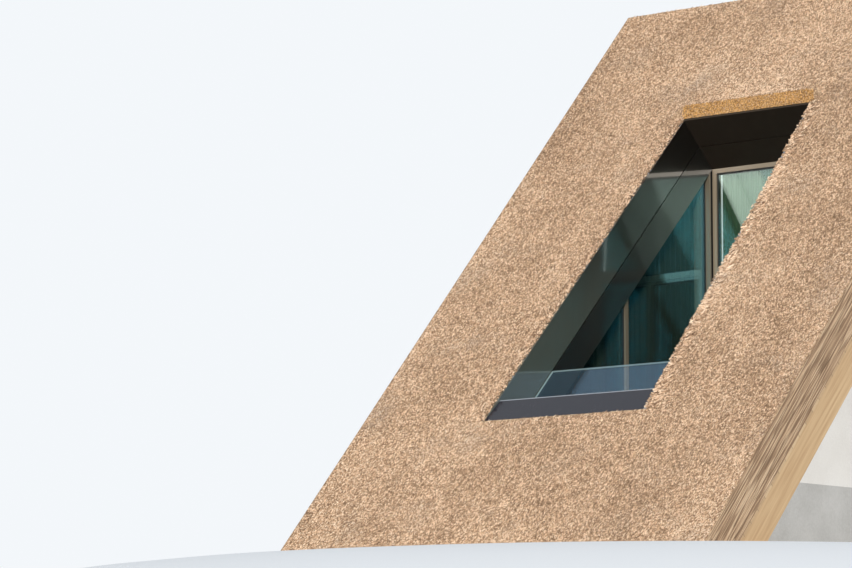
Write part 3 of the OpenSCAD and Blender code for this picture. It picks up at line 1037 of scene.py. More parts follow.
# The rail glass's blue mirror tint is a painted sky reflection; the mirroring itself is traced.
RAIL_GLASS = Pane(
    "rail_glass",
    tint=(0.95, 0.98, 0.98),
    mirror=(0.52, 0.76, 1.0),
    least=0.060,
    edge=(0.42, 0.52, 0.50),
    outward=BAY.out,
)
GASKET = Rubber("gasket")
CURTAIN_FRONT = Cloth("curtain_front", colour=(0.085, 0.150, 0.090), shade=(0.055, 0.105, 0.062))
# A much darker copy of the curtain cloth: painted shade for the curtains along the cheeks.
CURTAIN_PAINTED_SHADE = Cloth(
    "curtain_painted_shade", colour=(0.0075, 0.0165, 0.0105), shade=(0.0038, 0.0083, 0.0055)
)


# Pieces


def add_piece(name: str, mesh: bpy.types.Mesh, finish: Finish) -> bpy.types.Object:
    """Puts a finished mesh into the scene as a piece of the object.

    Args:
        name: The piece's name.
        mesh: Its mesh, in the part's frame.
        finish: Its finish.

    Returns:
        The object.
    """
    mesh.name = name
    mesh.materials.clear()
    mesh.materials.append(finish.material())
    piece = bpy.data.objects.new(name, mesh)
    bpy.context.scene.collection.objects.link(piece)
    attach(piece, ROOT)
    LOG.info("%s: %d faces", name, len(mesh.polygons))
    return piece


def mesh_from(build: Filler) -> bpy.types.Mesh:
    """A mesh made by a function that fills a bmesh.

    Args:
        build: The function.

    Returns:
        The mesh, with its faces pointing outwards.
    """
    work = bmesh.new()
    build(work)
    bmesh.ops.recalc_face_normals(work, faces=work.faces)
    mesh = bpy.data.meshes.new("work")
    work.to_mesh(mesh)
    work.free()
    return mesh


def add_prism(work: bmesh.types.BMesh, first: Sequence[Vector], second: Sequence[Vector]) -> None:
    """Adds a closed prism between two like outlines.

    Args:
        work: The mesh under construction.
        first: The corners of one end.
        second: The corners of the other end, in the same order.
    """
    a = [work.verts.new(p) for p in first]
    b = [work.verts.new(p) for p in second]
    count = len(a)
    work.faces.new(a)
    work.faces.new(list(reversed(b)))
    for i in range(count):
        j = (i + 1) % count
        work.faces.new([a[i], a[j], b[j], b[i]])


def add_ring(
    work: bmesh.types.BMesh, outer: Sequence[Vector], inner: Sequence[Vector], depth: Vector
) -> None:
    """Adds a closed frame between an outer and an inner outline.

    Args:
        work: The mesh under construction.
        outer: The outer corners of the near face.
        inner: The inner corners of the near face.
        depth: The way from the near face to the far one.
    """
    count = len(outer)
    layers = [[work.verts.new(p + d) for p in line] for line in (outer, inner) for d in (Vector(), depth)]
    near_out, far_out, near_in, far_in = layers
    for i in range(count):
        j = (i + 1) % count
        work.faces.new([near_out[i], near_out[j], near_in[j], near_in[i]])
        work.faces.new([far_out[i], far_in[i], far_in[j], far_out[j]])
        work.faces.new([near_out[i], far_out[i], far_out[j], near_out[j]])
        work.faces.new([near_in[i], near_in[j], far_in[j], far_in[i]])


def inset(outline: Sequence[Point2], distance: float) -> list[Point2]:
    """Moves the sides of a convex outline inwards.

    Args:
        outline: The corners, anticlockwise.
        distance: How far each side moves.

    Returns:
        The new corners.
    """
    count = len(outline)
    lines = []
    for i in range(count):
        (x0, y0), (x1, y1) = outline[i], outline[(i + 1) % count]
        length = math.hypot(x1 - x0, y1 - y0)
        nx, ny = -(y1 - y0) / length, (x1 - x0) / length
        lines.append((nx, ny, nx * x0 + ny * y0 + distance))
    corners = []
    for i in range(count):
        a1, b1, c1 = lines[i - 1]
        a2, b2, c2 = lines[i]
        det = a1 * b2 - a2 * b1
        corners.append(((c1 * b2 - c2 * b1) / det, (a1 * c2 - a2 * c1) / det))
    return corners


class GeometryTree(Graph):
    """A Geometry Nodes tree with named inputs."""

    def __init__(self, name: str, sockets: dict[str, str]) -> None:
        """Starts a tree.

        Args:
            name: The tree's name.
            sockets: The inputs' names and their socket types.
        """
        super().__init__(bpy.data.node_groups.new(name, "GeometryNodeTree"))
        face = self.tree.interface
        face.new_socket("Geometry", in_out="OUTPUT", socket_type="NodeSocketGeometry")
        face.new_socket("Geometry", in_out="INPUT", socket_type="NodeSocketGeometry")
        self.keys = {
            label: face.new_socket(label, in_out="INPUT", socket_type=kind).identifier
            for label, kind in sockets.items()
        }
        self.entry = self.add("NodeGroupInput")

    def given(self, label: str) -> bpy.types.NodeSocket:
        """One of the tree's inputs."""
        return self.entry.outputs[label]

    def number(self, label: str) -> Value:
        """One of the tree's inputs as a number to calculate with."""
        return Value(self, self.entry.outputs[label])

    def random(self, low: object, high: object, seed: object, salt: int) -> Value:
        """A random number for each point.

        Args:
            low: The least value.
            high: The greatest value.
            seed: The tree's seed.
            salt: A number of its own for each use of the seed.

        Returns:
            The number.
        """
        mixed = self.add("ShaderNodeMath", {"operation": "ADD"}, {0: seed, 1: float(salt)})
        node = self.add(
            "FunctionNodeRandomValue",
            {"data_type": "FLOAT"},
            {2: low, 3: high, "Seed": mixed.outputs[0]},
        )
        return Value(self, node.outputs[1])

    def end(self, geometry: bpy.types.NodeSocket, material: bpy.types.NodeSocket) -> None:
        """Makes instances real, sets the material and closes the tree.

        Args:
            geometry: What the tree has made.
            material: The finish of all of it.
        """
        real = self.add("GeometryNodeRealizeInstances", inputs={"Geometry": geometry})
        dressed = self.add(
            "GeometryNodeSetMaterial", inputs={"Geometry": real.outputs[0], "Material": material}
        )
        self.add("NodeGroupOutput", inputs={"Geometry": dressed.outputs[0]})

    def grow(self, mesh: bpy.types.Mesh, values: dict[str, object]) -> bpy.types.Mesh:
        """Runs the tree on a mesh and returns the plain result.

        Args:
            mesh: The mesh that goes in, which is used up.
            values: The inputs' values by name.

        Returns:
            The new mesh.
        """
        base = bpy.data.objects.new("grow", mesh)
        bpy.context.scene.collection.objects.link(base)
        modifier = base.modifiers.new("grow", "NODES")
        modifier.node_group = self.tree
        for label, value in values.items():
            modifier[self.keys[label]] = value
        bpy.context.view_layer.update()
        ready = base.evaluated_get(bpy.context.evaluated_depsgraph_get())
        grown = bpy.data.meshes.new_from_object(ready)
        bpy.data.objects.remove(base)
        bpy.data.meshes.remove(mesh)
        return grown


# Thatch


class ReedTree(GeometryTree):
    """The tree that scatters reed ends over a field of thatch.

    Each reed is a slender cone with its thick end out and its tip in the thatch. Its girth and its
    length are shares of the cone's.
    """

    girths: tuple[float, float] = (0.65, 1.35)
    lengths: tuple[float, float] = (0.7, 1.3)

    def __init__(self) -> None:
        """Builds the tree."""
        super().__init__(
            "reed_ends",
            {
                "Density": "NodeSocketFloat",
                "Seed": "NodeSocketInt",
                "Length": "NodeSocketFloat",
                "Radius": "NodeSocketFloat",
                "Rise Low": "NodeSocketFloat",
                "Rise High": "NodeSocketFloat",
                "Outward": "NodeSocketVector",
                "Aim": "NodeSocketVector",
                "Scatter": "NodeSocketFloat",
                "Finish": "NodeSocketMaterial",
            },
        )
        stems = self.add(
            "GeometryNodeInstanceOnPoints",
            inputs={
                "Points": self._points(),
                "Instance": self._stem(),
                "Rotation": self._turn(),
                "Scale": self._size(),
            },
        )
        toned = self.add(
            "GeometryNodeStoreNamedAttribute",
            {"data_type": "FLOAT", "domain": "INSTANCE"},
            {"Geometry": stems.outputs[0], "Name": TONE, "Value": self._chance(0.0, 1.0, salt=8)},
        )
        self.end(toned.outputs[0], self.given("Finish"))

    def _chance(self, low: object, high: object, salt: int) -> Value:
        """A random number for each reed, with a salt of its own for each use."""
        return self.random(low, high, self.given("Seed"), salt)

    def _points(self) -> bpy.types.NodeSocket:
        """Scatters points over the field and lifts each by chance.

        Returns:
            The points.
        """
        points = self.add(
            "GeometryNodeDistributePointsOnFaces",
            {"distribute_method": "RANDOM"},
            {
                "Mesh": self.given("Geometry"),
                "Density": self.given("Density"),
                "Seed": self.given("Seed"),
            },
        )
        rise = self._chance(self.given("Rise Low"), self.given("Rise High"), salt=1)
        lift = self.add(
            "ShaderNodeVectorMath", {"operation": "SCALE"}, {0: self.given("Outward"), "Scale": rise}
        )
        lifted = self.add(
            "GeometryNodeSetPosition",
            inputs={"Geometry": points.outputs["Points"], "Offset": lift.outputs[0]},
        )
        return lifted.outputs[0]

    def _turn(self) -> bpy.types.NodeSocket:
        """Turns each reed to its aim, with some scatter and a spin of its own.

        Returns:
            The rotation.
        """
        stray = self.add(
            "ShaderNodeCombineXYZ",
            inputs={i: self._chance(-1.0, 1.0, salt=2 + i) * self.number("Scatter") for i in range(3)},
        )
        aim = self.add(
            "ShaderNodeVectorMath", {"operation": "ADD"}, {0: self.given("Aim"), 1: stray.outputs[0]}
        )
        aligned = self.add(
            "FunctionNodeAlignRotationToVector", {"axis": "Z"}, {"Vector": aim.outputs[0]}
        )
        spin = self.add("ShaderNodeCombineXYZ", inputs={2: self._chance(0.0, 2 * math.pi, salt=5)})
        twist = self.add("FunctionNodeEulerToRotation", inputs={0: spin.outputs[0]})
        turned = self.add(
            "FunctionNodeRotateRotation",
            {"rotation_space": "LOCAL"},
            {"Rotation": aligned.outputs[0], "Rotate By": twist.outputs[0]},
        )
        return turned.outputs[0]

    def _stem(self) -> bpy.types.NodeSocket:
        """Makes the cone that every reed is a copy of.

        Returns:
            Its mesh.
        """
        cone = self.add(
            "GeometryNodeMeshCone",
            {"fill_type": "NGON"},
            {
                "Vertices": 3,
                "Side Segments": 1,
                "Fill Segments": 1,
                "Radius Top": 0.0,
                "Radius Bottom": self.given("Radius"),
                "Depth": self.given("Length"),
            },
        )
        return cone.outputs["Mesh"]

    def _size(self) -> bpy.types.NodeSocket:
        """Gives each reed its girth and its length.

        Returns:
            The scale.
        """
        girth = self._chance(*self.girths, salt=6)
        reach = self._chance(*self.lengths, salt=7)
        return self.add("ShaderNodeCombineXYZ", inputs={0: girth, 1: girth, 2: reach}).outputs[0]


@dataclass(frozen=True)
class ReedField:
    """One field of reed ends on the thatch.

    The rise is how far the ends stand out, and the scatter how far each stem strays from the aim.
    """

    name: str
    mesh: Filler
    density: float
    seed: int
    outward: Vector
    aim: Vector
    finish: Finish = REED
    length: float = 0.034
    radius: float = 0.0043
    rise: tuple[float, float] = (0.000, 0.008)
    scatter: float = 0.24

    def build(self, tree: ReedTree) -> bpy.types.Object:
        """Grows the field's reeds and adds them as a piece.

        Args:
            tree: The tree of the reeds.

        Returns:
            The piece.
        """
        grown = tree.grow(
            mesh_from(self.mesh),
            {
                "Density": self.density,
                "Seed": self.seed,
                "Length": self.length,
                "Radius": self.radius,
                "Rise Low": self.rise[0],
                "Rise High": self.rise[1],
                "Outward": tuple(self.outward),
                "Aim": tuple(self.aim),
                "Scatter": self.scatter,
                "Finish": self.finish.material(),
            },
        )
        return add_piece(self.name, grown, self.finish)


@dataclass
class Thatch:
    """The reed coat: its mass, the reed ends all over it and the cut lip over the opening."""

    bay: Bay = BAY
    density: float = 8000.0
    lip_density: float = 26000.0
    edge_density: float = 8200.0
    tilt: float = math.radians(19.0)
    edge_tilt: float = math.radians(31.0)
    edge_lean: float = 0.35
    edge_near: float = 0.004
    edge_far: float = 0.110
    lip_aim: float = 0.35
    hold_back: float = 0.012
    columns: int = 24
    rows: int = 16

    def _flat(self, outline: Sequence[Point2]) -> Filler:
        """A flat field.

        Args:
            outline: Its corners as pairs of x and s.

        Returns:
            The function that fills its mesh.
        """

        def fill(work: bmesh.types.BMesh) -> None:
            """Adds the one face."""
            work.faces.new([work.verts.new(self.bay.slope_point(x, s, 0)) for x, s in outline])

        return fill

    def _swollen(self, side: Side) -> Filler:
        """Half of the field over the opening, swollen towards its lip.

        Args:
            side: Which half.

        Returns:
            The function that fills its mesh.
        """
        bay = self.bay
        last = (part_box("thatch_top")[1].y - bay.foot_y) / math.cos(bay.pitch) - self.hold_back

        def fill(work: bmesh.types.BMesh) -> None:
            """Adds the grid of faces.

            Args:
                work: The mesh under construction.
            """
            grid = []
            for i in range(self.columns + 1):
                x = side.value * (bay.width / 2 - self.hold_back) * i / self.columns
                first = bay.lip_start + bay.lip_full_height(x) * math.tan(bay.pitch)
                line = []
                for j in range(self.rows + 1):
                    s = first + (last - first) * j / self.rows
                    line.append(work.verts.new(bay.slope_point(x, s, -bay.lip_height(x, s))))
                grid.append(line)
            for i in range(self.columns):
                for j in range(self.rows):
                    work.faces.new([grid[i][j], grid[i + 1][j], grid[i + 1][j + 1], grid[i][j + 1]])

        return fill

    def _lip_face(self, work: bmesh.types.BMesh) -> None:
        """Fills the plumb cut face over the head of the opening.

        Args:
            work: The mesh under construction.
        """
        bay = self.bay
        reach = bay.top_width / 2 + bay.lining
        lines = []
        for i in range(self.columns + 1):
            x = reach * (2 * i / self.columns - 1)
            rise = bay.lip_height(x, bay.lip_start)
            foot = work.verts.new(bay.slope_point(x, bay.lip_start, MM))
            top = work.verts.new(bay.slope_point(x, bay.lip_start + rise * math.tan(bay.pitch), -rise))
            lines.append((foot, top))
        for (a, b), (c, d) in zip(lines, lines[1:]):
            work.faces.new([a, c, d, b])

    def _edge(self, side: Side) -> Filler:
        """A strip along a side of the opening.

        Args:
            side: Which side.

        Returns:
            The function that fills its mesh.
        """
        top = self.bay.lip_start
        near, far = self.edge_near, self.edge_far
        side_x = self.bay.side_x
        sign = side.value
        return self._flat(
            [
                (sign * side_x(0, near), 0),
                (sign * side_x(0, far), 0),
                (sign * side_x(top, far), top),
                (sign * side_x(top, near), top),
            ]
        )

    def _into(self, tilt: float) -> Vector:
        """The way of a stem into the thatch: up the slope, and inwards by a tilt."""
        return self.bay.up * math.cos(tilt) - self.bay.out * math.sin(tilt)

    def _coat(self, name: str, mesh: Filler, seed: int) -> ReedField:
        """A field of weathered reed ends on the slope."""
        aim = self._into(self.tilt)
        return ReedField(name, mesh, density=self.density, seed=seed, outward=self.bay.out, aim=aim)

    def _slope_fields(self) -> list[ReedField]:
        """The fields beside, under and over the opening.

        Returns:
            The fields.
        """
        bay = self.bay
        edge, top = bay.width / 2 - self.hold_back, bay.lip_start
        base = -bay.foot_z / math.sin(bay.pitch) + 2 * self.hold_back
        foot = -self.hold_back
        inner_foot, inner_top = bay.side_x(0, bay.lining), bay.side_x(top, bay.lining)
        left = [(-edge, 0), (-inner_foot, 0), (-inner_top, top), (-edge, top)]
        right = [(edge, 0), (edge, top), (inner_top, top), (inner_foot, 0)]
        bottom_left = [(-edge, base), (0, base), (0, foot), (-edge, foot)]
        bottom_right = [(0, base), (edge, base), (edge, foot), (0, foot)]
        return [
            self._coat("reeds_left", self._flat(left), seed=11),
            self._coat("reeds_right", self._flat(right), seed=12),
            self._coat("reeds_bottom_left", self._flat(bottom_left), seed=13),
            self._coat("reeds_bottom_right", self._flat(bottom_right), seed=14),
            self._coat("reeds_top_left", self._swollen(Side.LEFT), seed=16),
            self._coat("reeds_top_right", self._swollen(Side.RIGHT), seed=17),
        ]

    def _lip_field(self) -> ReedField:
        """The close-set butts of the cut lip.

        Returns:
            The field.
        """
        return ReedField(
            "reeds_lip",
            self._lip_face,
            density=self.lip_density,
            seed=15,
            outward=Vector((0, -1, 0)),
            aim=Vector((0, 1, self.lip_aim)),
            finish=REED_CUT,
            length=0.030,
            radius=0.0045,
            rise=(0.000, 0.007),
            scatter=0.16,
        )

    def _edge_field(self, side: Side) -> ReedField:
        """The longer, looser reeds along a side of the opening.

        Args:
            side: Which side.

        Returns:
            The field.
        """
        return ReedField(
            f"reeds_edge_{side.hand}",
            self._edge(side),
            density=self.edge_density,
            seed=20 + side.value,
            outward=self.bay.out,
            aim=self._into(self.edge_tilt) + Vector((side.value * self.edge_lean, 0, 0)),
            length=0.064,
            radius=0.0060,
            rise=(0.000, 0.025),
            scatter=0.48,
        )

    def build(self) -> None:
        """Dresses the mass and grows the reeds."""
        for node in ("thatch_left", "thatch_right", "thatch_top", "thatch_bottom"):
            dress(node, THATCH)
        tree = ReedTree()
        edges = [self._edge_field(side) for side in Side]
        for reeds in (*self._slope_fields(), self._lip_field(), *edges):
            reeds.build(tree)


# Dressing of the CAD nodes


def dress(node: str, finish: Finish) -> None:
    """Gives a CAD node its finish.

    Args:
        node: The node's name.
        finish: Its finish.
    """
    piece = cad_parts[node]
    if not piece.material_slots:
        piece.data.materials.append(finish.material())
    for slot in piece.material_slots:
        slot.material = finish.material()
    LOG.info("%s: %s", node, finish.name)


NODE_FINISHES: dict[str, Finish] = {
    "floor_slab": CONCRETE,
    "party_wall_left": PLASTER,
    "party_wall_right": PLASTER,
    "knee_wall": KNEE,
    "room_floor": OAK_BOARDS,
    "rafters": SOFTWOOD_SLOPE,
    "trimmers": SOFTWOOD_SLOPE,
    "cross_trimmers": SOFTWOOD_ACROSS,
    "purlin": SOFTWOOD_ACROSS,
    "deck_left": ROOF_BOARDS,
    "deck_right": ROOF_BOARDS,
    "deck_top": ROOF_BOARDS,
    "deck_bottom": ROOF_BOARDS,
    "packing": SOFTWOOD_SLOPE,
    "reveal_outer_left": LINING,
    "reveal_outer_right": LINING,
    "reveal_inner_left": LINING_IN,
    "reveal_inner_right": LINING_IN,
    "soffit_outer": SOFFIT,
    "soffit_inner": SOFFIT,
    "kerb_core": SOFTWOOD_ACROSS,
    "kerb_cover": KERB,
    "sill_inner": LINING,
    "balustrade_channel": ANODISED,
    "balustrade_glass": RAIL_GLASS,
    "head_packer": BLACK,
    "front_frame": FRAME,
    "door_leaf_left": FRAME_PAINTED_SHADE,
    "door_leaf_right": FRAME_PAINTED_SHADE,
    "corner_posts": BLACK,
    "cheek_frame_left": FRAME_PAINTED_SHADE,
    "cheek_frame_right": FRAME_PAINTED_SHADE,
    "curtain_rails": ANODISED,
}


# Terrace


class BoardTree(GeometryTree):
    """The tree that lays a row of boards side by side."""

    def __init__(self) -> None:
        """Builds the tree."""
        super().__init__(
            "board_row",
            {
                "Count": "NodeSocketInt",
                "Pitch": "NodeSocketFloat",
                "Board": "NodeSocketVector",
                "First": "NodeSocketVector",
                "Finish": "NodeSocketMaterial",
            },
        )
        step = self.add("ShaderNodeCombineXYZ", inputs={0: self.given("Pitch")})
        line = self.add(
            "GeometryNodeMeshLine",
            {"mode": "OFFSET"},
            {
                "Count": self.given("Count"),
                "Start Location": self.given("First"),
                "Offset": step.outputs[0],
            },
        )
        board = self.add("GeometryNodeMeshCube", inputs={"Size": self.given("Board")})
        laid = self.add(
            "GeometryNodeInstanceOnPoints",
            inputs={"Points": line.outputs[0], "Instance": board.outputs["Mesh"]},
        )
        self.end(laid.outputs[0], self.given("Finish"))


@dataclass
class TerraceDeck:
    """Boards on the terrace, which run from the knee wall to the doors and lie side by side."""

    board: float = 0.120
    gap: float = 0.006
    arris: float = 0.0015

    def _lay(self) -> bpy.types.Mesh:
        """Lays whole boards past both sides of the CAD deck.

        Returns:
            Their mesh.
        """
        low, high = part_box("terrace_deck")
        pitch = self.board + self.gap
        count = math.ceil((high.x - low.x) / pitch) + 1
        first = Vector((-pitch * (count - 1) / 2, (low.y + high.y) / 2, (low.z + high.z) / 2))
        return BoardTree().grow(
            bpy.data.meshes.new("seed"),
            {
                "Count": count,
                "Pitch": pitch,
                "Board": (self.board, high.y - low.y, high.z - low.z),
                "First": tuple(first),
                "Finish": TERRACE_BOARDS.material(),
            },
        )

    def _reach(self, y: float) -> float:
        """Half the CAD deck's width at one end."""
        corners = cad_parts["terrace_deck"].data.vertices
        return max(v.co.x for v in corners if abs(v.co.y - y) < MM)

    def _trim(self, work: bmesh.types.BMesh) -> None:
        """Cuts the boards to the tapered sides and closes the cuts.

        Args:
            work: The boards.
        """
        low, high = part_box("terrace_deck")
        wide, narrow = self._reach(low.y), self._reach(high.y)
        for side in Side:
            cut = bmesh.ops.bisect_plane(
                work,
                geom=work.verts[:] + work.edges[:] + work.faces[:],
                plane_co=(side.value * wide, low.y, 0),
                plane_no=Vector((side.value * (high.y - low.y), wide - narrow, 0)).normalized(),
                clear_outer=True,
            )
            edges = [e for e in cut["geom_cut"] if isinstance(e, bmesh.types.BMEdge)]
            bmesh.ops.holes_fill(work, edges=edges)

    def build(self) -> bpy.types.Object:
        """Lays the boards, trims them and takes off their sharp edges.

        Returns:
            The piece.
        """
        laid = self._lay()
        work = bmesh.new()
        work.from_mesh(laid)
        bmesh.ops.remove_doubles(work, verts=work.verts, dist=MM / 100)
        self._trim(work)
        arrises = [edge for edge in work.edges if len(edge.link_faces) == 2]
        bmesh.ops.bevel(work, geom=arrises, offset=self.arris, segments=1, affect="EDGES")
        bmesh.ops.recalc_face_normals(work, faces=work.faces)
        work.to_mesh(laid)
        work.free()
        deck = add_piece("terrace_boards", laid, TERRACE_BOARDS)
        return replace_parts(deck, "terrace_deck")


# Glazing


@dataclass(frozen=True)
class Light:
    """One glazed light: an outline in its own plane and the way from that plane to space."""

    outline: Sequence[Point2]
    place: Callable[[Point2, float], Vector]

    def ring(self, work: bmesh.types.BMesh, first: float, second: float, near: float, far: float) -> None:
        """Adds a frame round the light.

        Args:
            work: The mesh under construction.
            first: Distance of its outer outline inside the light's edge.
            second: Distance of its inner outline inside the light's edge.
            near: Its outer face's depth in the unit.
            far: Its inner face's depth in the unit.
        """
        outer, inner = inset(self.outline, first), inset(self.outline, second)
        depth = self.place(outer[0], far) - self.place(outer[0], near)
        add_ring(
            work, [self.place(p, near) for p in outer], [self.place(p, near) for p in inner], depth
        )

    def sheet(self, work: bmesh.types.BMesh, near: float, far: float) -> None:
        """Adds a pane.

        Args:
            work: The mesh under construction.
            near: Its outer face's depth in the unit.
            far: Its inner face's depth in the unit.
        """
        add_prism(
            work,
            [self.place(p, near) for p in self.outline],
            [self.place(p, far) for p in self.outline],
        )


@dataclass
class Glazing:
    """Sealed units: two panes, the spacer between them and the gaskets that hold them."""

    bay: Bay = BAY
    sheet: float = 0.006
    spacer: float = 0.011
    spacer_inset: float = 0.002
    sight: float = 0.010
    bead: float = 0.004

    def front_lights(self) -> list[Light]:
        """The fanlight and the two door leaves.

        Returns:
            The three lights.
        """
        bay = self.bay
        start = bay.window_y + bay.pane_setback
        light_x = bay.top_width / 2 - bay.frame_face
        transom_top = bay.head_z - bay.transom_drop
        leaf_x = (light_x - bay.leaf_gap - bay.leaf, bay.leaf_gap / 2 + bay.leaf)
        low = bay.floor_z + bay.frame_face + bay.leaf_gap + bay.leaf
        high = transom_top - bay.transom - bay.leaf_gap - bay.leaf

        def place(point: Point2, depth: float) -> Vector:
            """A place in the front window's units."""
            return Vector((point[0], start + depth, point[1]))

        def box(x0: float, x1: float, z0: float, z1: float) -> Light:
            """An upright rectangle."""
            return Light([(x0, z0), (x1, z0), (x1, z1), (x0, z1)], place)

        gap = bay.pane_gap
        return [
            box(gap - light_x, light_x - gap, transom_top, bay.head_z - bay.frame_face - gap),
            box(gap - leaf_x[0], -leaf_x[1] - gap, low, high - gap),
            box(leaf_x[1] + gap, leaf_x[0] - gap, low, high - gap),
        ]

    def cheek_lights(self, side: Side) -> list[Light]:
        """The two raking lights of a cheek.

        Args:
            side: Which cheek.

        Returns:
            The lights, the lower one first.
        """
        bay = self.bay
        start = bay.lining + (bay.cheek_depth - bay.pane) / 2
        mullion_y = bay.window_y - bay.mullion_lead
        gap = bay.pane_gap
        top_n = bay.roof + bay.rake_shadow + gap
        z0 = bay.floor_z + bay.frame_face

        def place(point: Point2, depth: float) -> Vector:
            """A place in a cheek's units."""
            return bay.cheek_point(side, point[0], point[1], start + depth)

        return [
            Light([(y0, z0), (y1, z0), (y1, bay.rake_z(y1, top_n)), (y0, bay.rake_z(y0, top_n))], place)
            for y0, y1 in (
                (bay.knee_y + bay.frame_face + gap, mullion_y - bay.mullion / 2 - gap),
                (mullion_y + bay.mullion / 2 + gap, bay.cheek_rear_y - gap),
            )
        ]

    def dress_lights(self, name: str, node: str, lights: Sequence[Light], finish: Finish) -> None:
        """Builds the panes, spacers and gaskets of some lights.

        Args:
            name: The first word of the pieces' names.
            node: The CAD node that the glass stands for.
            lights: The lights.
            finish: The glass.
        """
        bay = self.bay

        def panes(work: bmesh.types.BMesh) -> None:
            """Adds both panes of each light.

            Args:
                work: The mesh under construction.
            """
            for light in lights:
                light.sheet(work, 0.0, self.sheet)
                light.sheet(work, bay.pane - self.sheet, bay.pane)

        def spacers(work: bmesh.types.BMesh) -> None:
            """Adds the spacer of each light.

            Args:
                work: The mesh under construction.
            """
            first, second = self.spacer_inset, self.spacer_inset + self.spacer
            for light in lights:
                light.ring(work, first, second, self.sheet, bay.pane - self.sheet)

        def gaskets(work: bmesh.types.BMesh) -> None:
            """Adds the gaskets on both faces of each light.

            Args:
                work: The mesh under construction.
            """
            for light in lights:
                light.ring(work, 0.0, self.sight, -self.bead, 0.0)
                light.ring(work, 0.0, self.sight, bay.pane, bay.pane + self.bead)

        glass = add_piece(f"{name}_glass", mesh_from(panes), finish)
        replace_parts(glass, node)
        add_piece(f"{name}_spacers", mesh_from(spacers), BLACK)
        add_piece(f"{name}_gaskets", mesh_from(gaskets), GASKET)

    def build(self) -> None:
        """Builds the glazing of all three windows."""
        self.dress_lights("front", "front_panes", self.front_lights(), FRONT_GLASS)
        for side in Side:
            lights = self.cheek_lights(side)
            self.dress_lights(f"cheek_{side.hand}", f"cheek_panes_{side.hand}", lights, CHEEK_GLASS)


# Curtains


class FoldTree(GeometryTree):
    """The tree that gathers a flat curtain into upright folds.

    The strays say how often a fold changes its course, and the top swing is the folds' depth at
    the rail as a share of their depth at the hem.
    """

    strays_a_metre: float = 3.1
    strays_a_drop: float = 0.8
    top_swing: float = 0.7

    def __init__(self) -> None:
        """Builds the tree."""
        super().__init__(
            "curtain_folds",
            {
                "Depth": "NodeSocketFloat",
                "Pitch": "NodeSocketFloat",
                "Wander": "NodeSocketFloat",
                "Across": "NodeSocketVector",
                "Seed": "NodeSocketFloat",
                "Finish": "NodeSocketMaterial",
            },
        )
        along, down = self._read(CLOTH_RUN), self._read(CLOTH_DROP)
        phase = (along / self.number("Pitch") + self._wander(along, down)) * (2 * math.pi)
        opening = down * (1 - self.top_swing) + self.top_swing
        swing = phase.sine() * self.number("Depth") * opening
        shift = self.add(
            "ShaderNodeVectorMath", {"operation": "SCALE"}, {0: self.given("Across"), "Scale": swing}
        )
        folded = self.add(
            "GeometryNodeSetPosition",
            inputs={"Geometry": self.given("Geometry"), "Offset": shift.outputs[0]},
        )
        smooth = self.add("GeometryNodeSetShadeSmooth", inputs={"Geometry": folded.outputs[0]})
        self.end(smooth.outputs[0], self.given("Finish"))

    def _read(self, name: str) -> Value:
        """One of the cloth's attributes."""
        node = self.add("GeometryNodeInputNamedAttribute", {"data_type": "FLOAT"}, {"Name": name})
        return self.value(node, "Attribute")

    def _wander(self, along: Value, down: Value) -> Value:
        """How far a fold strays from its place, in folds.

        Args:
            along: The place along the rail.
            down: The share of the drop.

        Returns:
            The number.
        """
        spot = self.add(
            "ShaderNodeCombineXYZ",
            inputs={0: along * self.strays_a_metre, 1: down * self.strays_a_drop, 2: self.given("Seed")},
        )
        stray = self.add(
            "ShaderNodeTexNoise", inputs={"Vector": spot.outputs[0], "Scale": 1.0, "Detail": 1.0}
        )
        return (self.value(stray, 0) - 0.5) * self.number("Wander")


